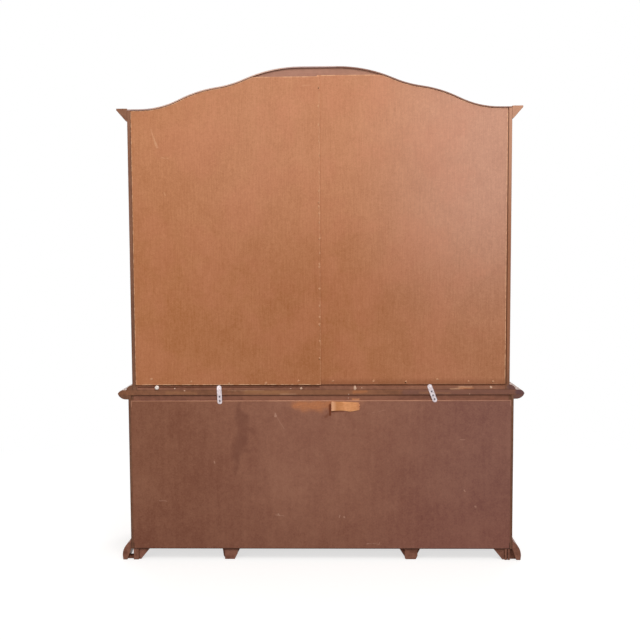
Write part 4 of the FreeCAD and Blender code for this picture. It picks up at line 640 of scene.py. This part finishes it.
def dressed(node, material, soften=EDGE_SOFT, along=None, band=0.0):
    """A copy of a CAD node with softened edges and its own grain on each board.

    along is the grain's axis, "faces" for mouldings, or None for each board's longest side; band is
    the width of the border round a sheet's rear face, which its material paints pale as ragged fibre and
    painted highlight, and at the panel's foot dark as painted shade.
    """
    whole = bmesh.new()
    grain = whole.loops.layers.float_vector.new("grain")
    layers = [whole.loops.layers.float.new(name) for name in ("board", "wear_and_painted_light", "rear", "recess_shade")]
    for points, triangles in solids_of(node):
        board = bmesh.new()
        frayed_and_lit_border = board.faces.layers.int.new("frayed_and_lit_border")
        corners = [board.verts.new(point) for point in points]
        for triangle in triangles:
            board.faces.new([corners[index] for index in triangle])
        bmesh.ops.dissolve_limit(board, angle_limit=FLAT_ANGLE, verts=board.verts, edges=board.edges)
        if band:
            shown = [face for face in board.faces if face.normal.y > REAR_NORMAL]
            border = bmesh.ops.inset_region(board, faces=shown, thickness=band, use_even_offset=True,
                                            use_boundary=True)
            for face in border["faces"]:
                face[frayed_and_lit_border] = 1
        soft = set()
        if soften:
            sharp = [edge for edge in board.edges
                     if edge.is_manifold and edge.calc_face_angle() > BEVEL_ANGLE]
            made = bmesh.ops.bevel(board, geom=sharp, offset=soften, offset_type="OFFSET", segments=2,
                                   profile=0.5, affect="EDGES", clamp_overlap=True)
            soft = set(made["faces"])
        low = Vector(min(p[axis] for p in points) for axis in range(3))
        high = Vector(max(p[axis] for p in points) for axis in range(3))
        size = high - low
        longest = along or "xyz"[max(range(3), key=lambda axis: size[axis])]
        shift = Vector(draws.uniform(*span) for span in GRAIN_SHIFTS)
        lot = draws.random()
        places = {vertex: whole.verts.new(vertex.co) for vertex in board.verts}
        for face in board.faces:
            copy = whole.faces.new([places[vertex] for vertex in face.verts])
            axis = longest
            if along == "faces":
                axis = "y" if abs(face.normal.x) > abs(face.normal.y) else "x"
            order = AXES[axis]
            middle = face.calc_center_median()
            rear = face.normal.y > REAR_NORMAL and middle.y > REAR_FROM
            # Bevels and sheet borders: their materials paint them as wear, and as painted highlight or shade.
            wear_and_painted_light = face in soft or face[frayed_and_lit_border] or (band and abs(face.normal.y) < RIM_NORMAL)
            recess_shade = rear and node == "hutch_back_rails" and middle.y < RECESS_DEPTH and middle.z < RECESS_TOP
            marks = (lot, float(bool(wear_and_painted_light)), float(rear), float(recess_shade))
            for loop in copy.loops:
                near = loop.vert.co - low
                loop[grain] = Vector(near[part] for part in order) + shift
                for layer, mark in zip(layers, marks):
                    loop[layer] = mark
        board.free()
    mesh = bpy.data.meshes.new(node + "_dressed")
    whole.to_mesh(mesh)
    whole.free()
    piece = smooth_item(node + "_dressed", mesh, material, CREASE_ANGLE)
    weighted = piece.modifiers.new("even_normals", "WEIGHTED_NORMAL")
    weighted.keep_sharp = True
    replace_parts(piece, node)
    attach(piece, NODES[node]["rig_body"])


SHOWN_WOOD = ("base_side_left", "base_side_right", "base_face_frame", "base_skirt",
              "hutch_side_left", "hutch_side_right", "hutch_face_frame", "hutch_shelves",
              "hutch_partitions", "base_door_left_frame", "base_door_right_frame",
              "base_door_left_panel", "base_door_right_panel", "drawer_top_front",
              "drawer_middle_front", "drawer_bottom_front", "hutch_door_outer_left_frame",
              "hutch_door_inner_left_frame", "hutch_door_inner_right_frame",
              "hutch_door_outer_right_frame")
for node in SHOWN_WOOD:
    dressed(node, CABINET)
for node in ("middle_feet", "rear_feet"):
    dressed(node, FOOT_WOOD)
for node, material in (("base_top", TOP_WOOD), ("base_back_rail", BASE_RAIL_WOOD),
                       ("hutch_back_rails", RAIL_WOOD), ("hutch_roof", ROOF_WOOD),
                       ("hutch_bottom", CABINET)):
    dressed(node, material, along="x")
for node in ("base_top_moulding", "hutch_plinth_moulding", "crown_moulding", "front_feet"):
    dressed(node, CABINET, FINE_SOFT, "faces")
for node in ("base_partitions", "base_bottom", "base_shelves", "drawer_runners"):
    dressed(node, CARCASE)
for node in ("drawer_top_box", "drawer_middle_box", "drawer_bottom_box"):
    dressed(node, LIGHT_WOOD)
dressed("back_sheet_left", HARDBOARD, SHEET_SOFT, band=FRAYED_AND_LIT_BAND)
dressed("back_sheet_right", HARDBOARD, SHEET_SOFT, band=FRAYED_AND_LIT_BAND)
dressed("base_back_panel", PANEL, FINE_SOFT, band=PANEL_EDGE_BAND)

METAL_NODES = ["hinge_leaves", "door_catches", "shelf_pins"]
METAL_NODES += [name for name in NODES if name.endswith(("_pulls", "_hardware"))]
for name, material in ([(name, BRASS) for name in METAL_NODES]
                       + [(name, GLASS) for name in NODES if name.endswith("_glass")]):
    for held in NODES[name].material_slots:
        held.material = material

# ---------------------------------------------------------------- small pieces on the back


def tree_of(name):
    mesh = bpy.data.objects[name + "_dressed"].data
    return BVHTree.FromPolygons([vertex.co for vertex in mesh.vertices],
                                [polygon.vertices for polygon in mesh.polygons])


REAR_TREES = [tree_of(name) for name in ("back_sheet_left", "back_sheet_right", "hutch_back_rails",
                                         "base_top", "base_back_rail", "base_back_panel")]


def rear_at(x, z):
    """Where a rear face is, straight in from behind at x and z."""
    hits = (tree.ray_cast(Vector((x, 1, z)), Vector((0, -1, 0)))[0] for tree in REAR_TREES)
    return max(hit.y for hit in hits if hit is not None)


def on_rear(x, z, turn=0.0, y=None):
    """Turns offsets (across, up, out) at a place on a rear face into points."""
    ground = rear_at(x, z) if y is None else y
    cosine, sine = math.cos(turn), math.sin(turn)
    return lambda across, up, out: (x + across * cosine - up * sine, ground + out,
                                    z + across * sine + up * cosine)


class Heap:
    """Many small closed skins that become one piece."""

    def __init__(self):
        self.points = []
        self.faces = []

    def skin(self, rings):
        """Faces over rings of points, all with one count, closed at both ends."""
        first, count = len(self.points), len(rings[0])
        for ring in rings:
            self.points.extend(ring)
        for row in range(len(rings) - 1):
            for step in range(count):
                here = first + row * count + step
                side = first + row * count + (step + 1) % count
                self.faces.append((here, side, side + count, here + count))
        last = first + (len(rings) - 1) * count
        self.faces.append(tuple(range(first + count - 1, first - 1, -1)))
        self.faces.append(tuple(range(last, last + count)))

    def piece(self, name, material, slot, crease=40):
        mesh = bpy.data.meshes.new(name)
        mesh.from_pydata(self.points, [], self.faces)
        facing = bmesh.new()
        facing.from_mesh(mesh)
        bmesh.ops.recalc_face_normals(facing, faces=facing.faces)
        facing.to_mesh(mesh)
        facing.free()
        item = smooth_item(name, mesh, material, math.radians(crease))
        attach(item, "case")
        return item


def circle(radius, count):
    """Offsets (across, up) round a circle."""
    return [(radius * math.cos(math.tau * step / count), radius * math.sin(math.tau * step / count))
            for step in range(count)]


# ---- staples, the places where they broke the sheet, and painted shadows beside them

STAPLE_HALF, STAPLE_WIDE, STAPLE_THICK, STAPLE_DEEP = 0.0048, 0.0013, 0.0006, 0.0012
STAPLE_CORNER = 0.0009
# Shares of a round wire at which it is cut off flat, across and through its thickness.
WIRE_SIDE, WIRE_FLAT = 0.85, 0.7
STAPLE_LIFT, STAPLE_TIP = (0.0005, 0.0011), (0, 0.0008)
SEAM_TURN, FOOT_TURN = (1.15, 1.95), (-0.5, 0.5)
# Rings of a mound: a share of its reach, and a share of its height or metres under the face.
MOUND_RINGS = ((1.0, -0.0004), (0.74, 0.45), (0.4, 1.0), (0.1, 0.85))
MOUND_SPREAD, MOUND_RISE = (0.72, 1.28), (0.75, 1.2)
LUMP_REACH, LUMP_HEIGHT = (0.0036, 0.0058), 0.0006
SHADE_PATCH_CHANCE, SHADE_PATCH_REACH, SHADE_PATCH_HEIGHT = 0.15, (0.0014, 0.0032), 0.0003


def cut_flat(offset, limit):
    """An offset on a unit circle cut off at a limit, with the limit as the new 1."""
    return max(-limit, min(limit, offset)) / limit


def staple(heap, put, lift, tip):
    """A flat wire bent into the sheet at both ends; tip raises one end more than the other."""
    bend = STAPLE_HALF - STAPLE_CORNER
    way = ((-STAPLE_HALF, -STAPLE_DEEP), (-STAPLE_HALF, lift - STAPLE_CORNER), (-bend, lift),
           (bend, lift + tip), (STAPLE_HALF, lift + tip - STAPLE_CORNER), (STAPLE_HALF, -STAPLE_DEEP))
    rings = []
    for index, (along, out) in enumerate(way):
        before, after = way[max(index - 1, 0)], way[min(index + 1, len(way) - 1)]
        run = Vector((after[0] - before[0], after[1] - before[1])).normalized()
        ring = []
        for side, thick in circle(1.0, 8):
            push = cut_flat(thick, WIRE_FLAT) * STAPLE_THICK / 2
            ring.append(put(along - run.y * push, cut_flat(side, WIRE_SIDE) * STAPLE_WIDE / 2,
                            out + run.x * push))
        rings.append(ring)
    heap.skin(rings)


def mound(heap, put, reach, height, sides=11, flat=1.0):
    """A low ragged lump; its foot goes just under the face it sits on."""
    rings = []
    for share, out in MOUND_RINGS:
        ring = []
        for across, up in circle(1.0, sides):
            far = reach * share * draws.uniform(*MOUND_SPREAD)
            rise = out if out < 0 else height * out * draws.uniform(*MOUND_RISE)
            ring.append(put(far * across, far * up * flat, rise))
        rings.append(ring)
    heap.skin(rings)


SEAM_STAPLES = (1.894, 1.820, 1.749, 1.703, 1.684, 1.629, 1.563, 1.491, 1.445, 1.428, 1.401, 1.367,
                1.303, 1.245, 1.202, 1.190, 1.103, 1.035, 0.991, 0.961, 0.895, 0.826)
FOOT_STAPLES = ((0.680, 0.741), (0.520, 0.731), (0.367, 0.724), (0.218, 0.724), (0.086, 0.734),
                (-0.052, 0.733), (-0.214, 0.731), (-0.344, 0.729), (-0.470, 0.739), (-0.594, 0.730),
                (-0.693, 0.730))
wires, lumps, shade_patches = Heap(), Heap(), Heap()
STAPLED = [(SEAM + draws.uniform(0.0022, 0.0048), height) for height in SEAM_STAPLES]
for x, z in STAPLED + list(FOOT_STAPLES):
    seam = (x, z) in STAPLED
    put = on_rear(x, z, draws.uniform(*(SEAM_TURN if seam else FOOT_TURN)))
    staple(wires, put, draws.uniform(*STAPLE_LIFT), draws.uniform(*STAPLE_TIP))
    mound(lumps, on_rear(x + draws.uniform(-0.001, 0.001), z + draws.uniform(0.001, 0.003)),
          draws.uniform(*LUMP_REACH), LUMP_HEIGHT)
    # Painted shadow: a dark patch beside and below some staples, on the side away from the key lamp.
    if draws.random() < SHADE_PATCH_CHANCE:
        mound(shade_patches, on_rear(x + draws.uniform(0.001, 0.004), z - draws.uniform(0.001, 0.006)),
              draws.uniform(*SHADE_PATCH_REACH), SHADE_PATCH_HEIGHT, 9)
wires.piece("staple_wires", STAPLE, "mending_plates")
lumps.piece("staple_lumps", BROKEN, "back_sheet_right")
shade_patches.piece("staple_shade_patches", STAPLE_SHADE, "back_sheet_right")

# ---- mending plates, their screws and the bumper

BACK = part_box("mending_plates")[0][1]
# Middle (x, z) and lean of each plate, and its bright screws by their step from the middle.
PLATES = ((0.4058, 0.6789, math.radians(-2.3), (0.5, 1.5)),
          (-0.4493, 0.6832, math.radians(-20.8), (1.5,)))
PLATE_HALF, PLATE_WIDE, PLATE_THICK, SCREW_PITCH = 0.038, 0.0095, 0.002, 0.0165
# Rings of a plate's rounded edge: how far each is drawn in, and how far it lies under the top.
PLATE_EDGE = ((0, PLATE_THICK), (0, 0.0006), (0.0002, 0.0002), (0.0006, 0))
SCREW_STEPS = (-1.5, -0.5, 0.5, 1.5)
SCREW_HEAD, SCREW_DOME, SCREW_LIFT = 0.0039, 0.0014, 0.0001
# Rings of a screw's dome as shares of the head; then reach, half width and depth of its cross recess.
SCREW_RINGS = (1.0, 0.94, 0.82, 0.66, 0.58, 0.5, 0.36, 0.24, 0.12)
CROSS_REACH, CROSS_HALF, CROSS_DEPTH = 0.0023, 0.00055, 0.0009


def round_strip(half, wide, count=14):
    """Offsets round a strip with half-round ends, set upright."""
    run = half - wide
    upper = [(wide * math.cos(math.pi * step / count), run + wide * math.sin(math.pi * step / count))
             for step in range(count + 1)]
    return upper + [(-across, -up) for across, up in upper]


def screw(heap, put, turn):
    """A domed head with a cross recess."""
    rings = [[put(a, u, 0.0) for a, u in circle(SCREW_HEAD, 32)]]
    for share in SCREW_RINGS:
        ring = []
        for across, up in circle(SCREW_HEAD * share, 32):
            out = PLATE_THICK + SCREW_DOME * (1 - share ** 2) + SCREW_LIFT
            first = across * math.cos(turn) + up * math.sin(turn)
            last = up * math.cos(turn) - across * math.sin(turn)
            if max(abs(first), abs(last)) < CROSS_REACH and min(abs(first), abs(last)) < CROSS_HALF:
                out -= CROSS_DEPTH
            ring.append(put(across, up, out))
        rings.append(ring)
    heap.skin(rings)


strips, dark_screws, bright_screws = Heap(), Heap(), Heap()
for x, z, lean, bright in PLATES:
    put = on_rear(x, z, lean, BACK)
    strips.skin([[put(across, up, PLATE_THICK - under)
                  for across, up in round_strip(PLATE_HALF - inset, PLATE_WIDE - inset)]
                 for inset, under in PLATE_EDGE])
    for step in SCREW_STEPS:
        heap = bright_screws if step in bright else dark_screws
        up = step * SCREW_PITCH
        place = (x - up * math.sin(lean), z + up * math.cos(lean))
        screw(heap, on_rear(*place, lean, BACK), draws.uniform(0, 1.5))
plate_piece = strips.piece("mending_strips", ZINC, "mending_plates")
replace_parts(plate_piece, "mending_plates")
dark_screws.piece("dark_screws", STEEL, "mending_plates", 50)
bright_screws.piece("bright_screws", ZINC, "mending_plates", 50)

bumper_low, bumper_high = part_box("wall_bumper")
bumper = Heap()
put = on_rear((bumper_low[0] + bumper_high[0]) / 2, (bumper_low[2] + bumper_high[2]) / 2, 0, bumper_low[1])
radius, proud = (bumper_high[0] - bumper_low[0]) / 2, bumper_high[1] - bumper_low[1]
# The bumper's outline from its foot to its hollow middle: shares of its radius and of its height.
BUMPER_TURN = ((1.0, 0.0), (1.0, 0.3), (0.97, 0.46), (0.88, 0.66), (0.72, 0.84), (0.52, 0.95), (0.34, 1.0),
               (0.26, 0.98), (0.2, 0.86), (0.16, 0.62), (0.08, 0.56))
bumper.skin([[put(across, up, proud * out) for across, up in circle(radius * share, 40)]
             for share, out in BUMPER_TURN])
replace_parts(bumper.piece("bumper_dome", BUMPER, "wall_bumper", 60), "wall_bumper")

# ---- glue, plaster and paint specks: (x, z, half width, height over width, thickness)

SPECKS = ((-0.140, 0.7046, 0.0062, 1.35, 0.0016), (0.077, 0.7042, 0.0055, 1.0, 0.0014),
          (-0.167, 0.7057, 0.0022, 1.0, 0.0007), (0.119, 0.7035, 0.0046, 0.3, 0.0004),
          (-0.684, 0.7072, 0.0060, 0.9, 0.0011), (0.547, 0.6955, 0.0042, 0.6, 0.0007),
          (0.586, 0.7045, 0.0034, 0.9, 0.0007), (-0.114, 0.6795, 0.0022, 0.9, 0.0009),
          (-0.113, 0.6640, 0.0018, 1.6, 0.0008), (-0.599, 0.6800, 0.0022, 0.8, 0.0005))
specks = Heap()
for x, z, half, tall, thick in SPECKS:
    mound(specks, on_rear(x, z), half, thick, 13, tall)
specks.piece("pale_specks", CHIP, "hutch_back_rails")

# ---- the skin torn off the panel, folded over to one side

FLAP_LOW, FLAP_HIGH = 0.6122, 0.6505
# Way of the skin from its fold: across in metres, out from the panel in millimetres.
FLAP_WAY = ((-0.0520, 0.1), (-0.0490, 0.2), (-0.0462, 1.0), (-0.0446, 2.4), (-0.0450, 4.2), (-0.0472, 5.5),
            (-0.0508, 5.3), (-0.0550, 4.0), (-0.0592, 2.7), (-0.0665, 1.8), (-0.0760, 1.7), (-0.0860, 2.1),
            (-0.0960, 1.9), (-0.1060, 1.4), (-0.1160, 1.8), (-0.1260, 2.3), (-0.1360, 1.9), (-0.1450, 1.4),
            (-0.1530, 1.6), (-0.1590, 1.2))
# How far the lower edge hangs below or stops above its line, at places across.
FLAP_RAGS = ((-0.045, 0.0), (-0.060, 0.001), (-0.090, 0.002), (-0.104, 0.0), (-0.112, -0.003),
             (-0.121, -0.001), (-0.128, -0.003), (-0.136, 0.0), (-0.150, 0.002), (-0.160, 0.004))
FLAP_ROWS = 14
# Where its loose part starts, towards -X, and how long that is; how far its corner drops, how far its
# end frays and how much its lower and upper edges ripple.
FLAP_START, FLAP_RUN, FLAP_DROP, FLAP_FRAY, FLAP_RIPPLE = 0.045, 0.115, 0.004, 0.007, 0.0006
# Least and most that it stands out from the panel, in millimetres.
FLAP_LEAST, FLAP_MOST = 0.1, 5.6
SKIN_THICK = 0.0006


def between(pairs, x):
    """Straight-line reading of (place, value) pairs that run towards -X."""
    for (first, low), (last, high) in zip(pairs, pairs[1:]):
        if x >= last:
            return low + (high - low) * min(max((x - first) / (last - first), 0), 1)
    return pairs[-1][1]


def flap():
    points, faces = [], []
    for across, out in FLAP_WAY:
        low = FLAP_LOW + between(FLAP_RAGS, across)
        far = min(max((-across - FLAP_START) / FLAP_RUN, 0), 1)
        for row in range(FLAP_ROWS + 1):
            up = row / FLAP_ROWS
            z = low + (FLAP_HIGH - FLAP_DROP * far * far - low) * up
            ripple = noise.noise(Vector((across * 55, up * 2.2, 3.1)))
            ragged = noise.noise(Vector((up * 9, 1.7, 0.4))) * FLAP_FRAY * far ** 6
            rise = max(out + far * 1.1 * ripple + 0.5 * ripple, FLAP_LEAST)
            points.append((across + ragged, BACK + min(rise, FLAP_MOST) / 1000, z + FLAP_RIPPLE * ripple))
    width = FLAP_ROWS + 1
    for row in range(len(FLAP_WAY) - 1):
        for step in range(FLAP_ROWS):
            here = row * width + step
            faces.append((here, here + 1, here + width + 1, here + width))
    mesh = bpy.data.meshes.new("torn_flap")
    mesh.from_pydata(points, [], faces)
    item = smooth_item("torn_flap", mesh, TORN)
    skin = item.modifiers.new("thickness", "SOLIDIFY")
    skin.thickness = SKIN_THICK
    skin.offset = 0
    smooth = item.modifiers.new("smooth", "SUBSURF")
    smooth.levels = smooth.render_levels = 2
    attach(item, "case")


flap()

# ---------------------------------------------------------------- light and floor

world = bpy.data.worlds.new("studio")
scene.world = world
world.use_nodes = True
AMBIENT = 0.5
sky = Nodes(world.node_tree)
ambient = sky.node("ShaderNodeBackground", {"Color": (1.0, 0.985, 0.965, 1), "Strength": AMBIENT})
backdrop = sky.node("ShaderNodeBackground", {"Color": (1, 1, 1, 1), "Strength": 1.0})
choice = sky.node("ShaderNodeMixShader", {0: sky.seen(), 1: ambient.outputs[0], 2: backdrop.outputs[0]})
sky.node("ShaderNodeOutputWorld", {"Surface": choice.outputs[0]})

FLOOR_REACH, FLOOR_DROP = 30, 0.0005
floor_mesh = bpy.data.meshes.new("floor")
floor_mesh.from_pydata([(x * FLOOR_REACH, y * FLOOR_REACH, 0)
                        for x, y in ((-1, -1), (1, -1), (1, 1), (-1, 1))], [], [(0, 1, 2, 3)])
floor = bpy.data.objects.new("floor", floor_mesh)
floor.location.z = -FLOOR_DROP
scene.collection.objects.link(floor)
# Close to the object the floor shows its shadow; further off it turns into the white backdrop.
FLOOR_OWN, FLOOR_LIT, FLOOR_BOUNCE = 0.68, 0.42, 0.42
FLOOR_NEAR, FLOOR_FAR, FLOOR_SHAPE = 0.7, 2.2, (0.6, 1, 0)
floor_paint = Paint("pale_floor")
floor_paint.tree.nodes.remove(floor_paint.shader)
away = floor_paint.vector("MULTIPLY", floor_paint.place(), FLOOR_SHAPE)
away = floor_paint.vector("LENGTH", away, kind="Value")
shaded = floor_paint.node("ShaderNodeBsdfDiffuse", {
    0: floor_paint.mix(floor_paint.ramp(away, FLOOR_NEAR, FLOOR_FAR), (FLOOR_LIT,) * 3 + (1,), (0, 0, 0, 1))})
own = floor_paint.node("ShaderNodeEmission", {
    0: (1, 1, 1, 1), 1: floor_paint.ramp(away, FLOOR_NEAR, FLOOR_FAR, FLOOR_OWN, 1.0)})
shown = floor_paint.node("ShaderNodeAddShader", {0: shaded.outputs[0], 1: own.outputs[0]})
bounce = floor_paint.node("ShaderNodeBsdfDiffuse", {0: (FLOOR_BOUNCE,) * 3 + (1,)})
pick = floor_paint.node("ShaderNodeMixShader", {0: floor_paint.seen(), 1: bounce.outputs[0],
                                                2: shown.outputs[0]})
floor_paint.feed(floor_paint.out.inputs["Surface"], pick.outputs[0])
floor_mesh.materials.append(floor_paint.material)

LAMP_AIM, LAMP_COLOUR = Vector((0, 0, 1.1)), (1.0, 0.97, 0.93)
# Name, place, size and power of each lamp.
LAMPS = (("rear_key", (-1.1, 3.0, 4.2), 2.4, 93), ("rear_fill", (2.2, 3.4, 2.4), 2.4, 30),
         ("front_key", (-1.8, -3.6, 3.4), 2.0, 76), ("front_fill", (2.4, -3.2, 2.0), 2.4, 30),
         ("overhead", (0, 0, 4.6), 2.5, 15))
for name, place, size, power in LAMPS:
    light = bpy.data.lights.new(name, "AREA")
    light.shape = "DISK"
    light.size = size
    light.energy = power
    light.color = LAMP_COLOUR
    item = bpy.data.objects.new(name, light)
    item.location = place
    item.rotation_euler = (LAMP_AIM - Vector(place)).to_track_quat("-Z", "Y").to_euler()
    item.visible_camera = False
    scene.collection.objects.link(item)
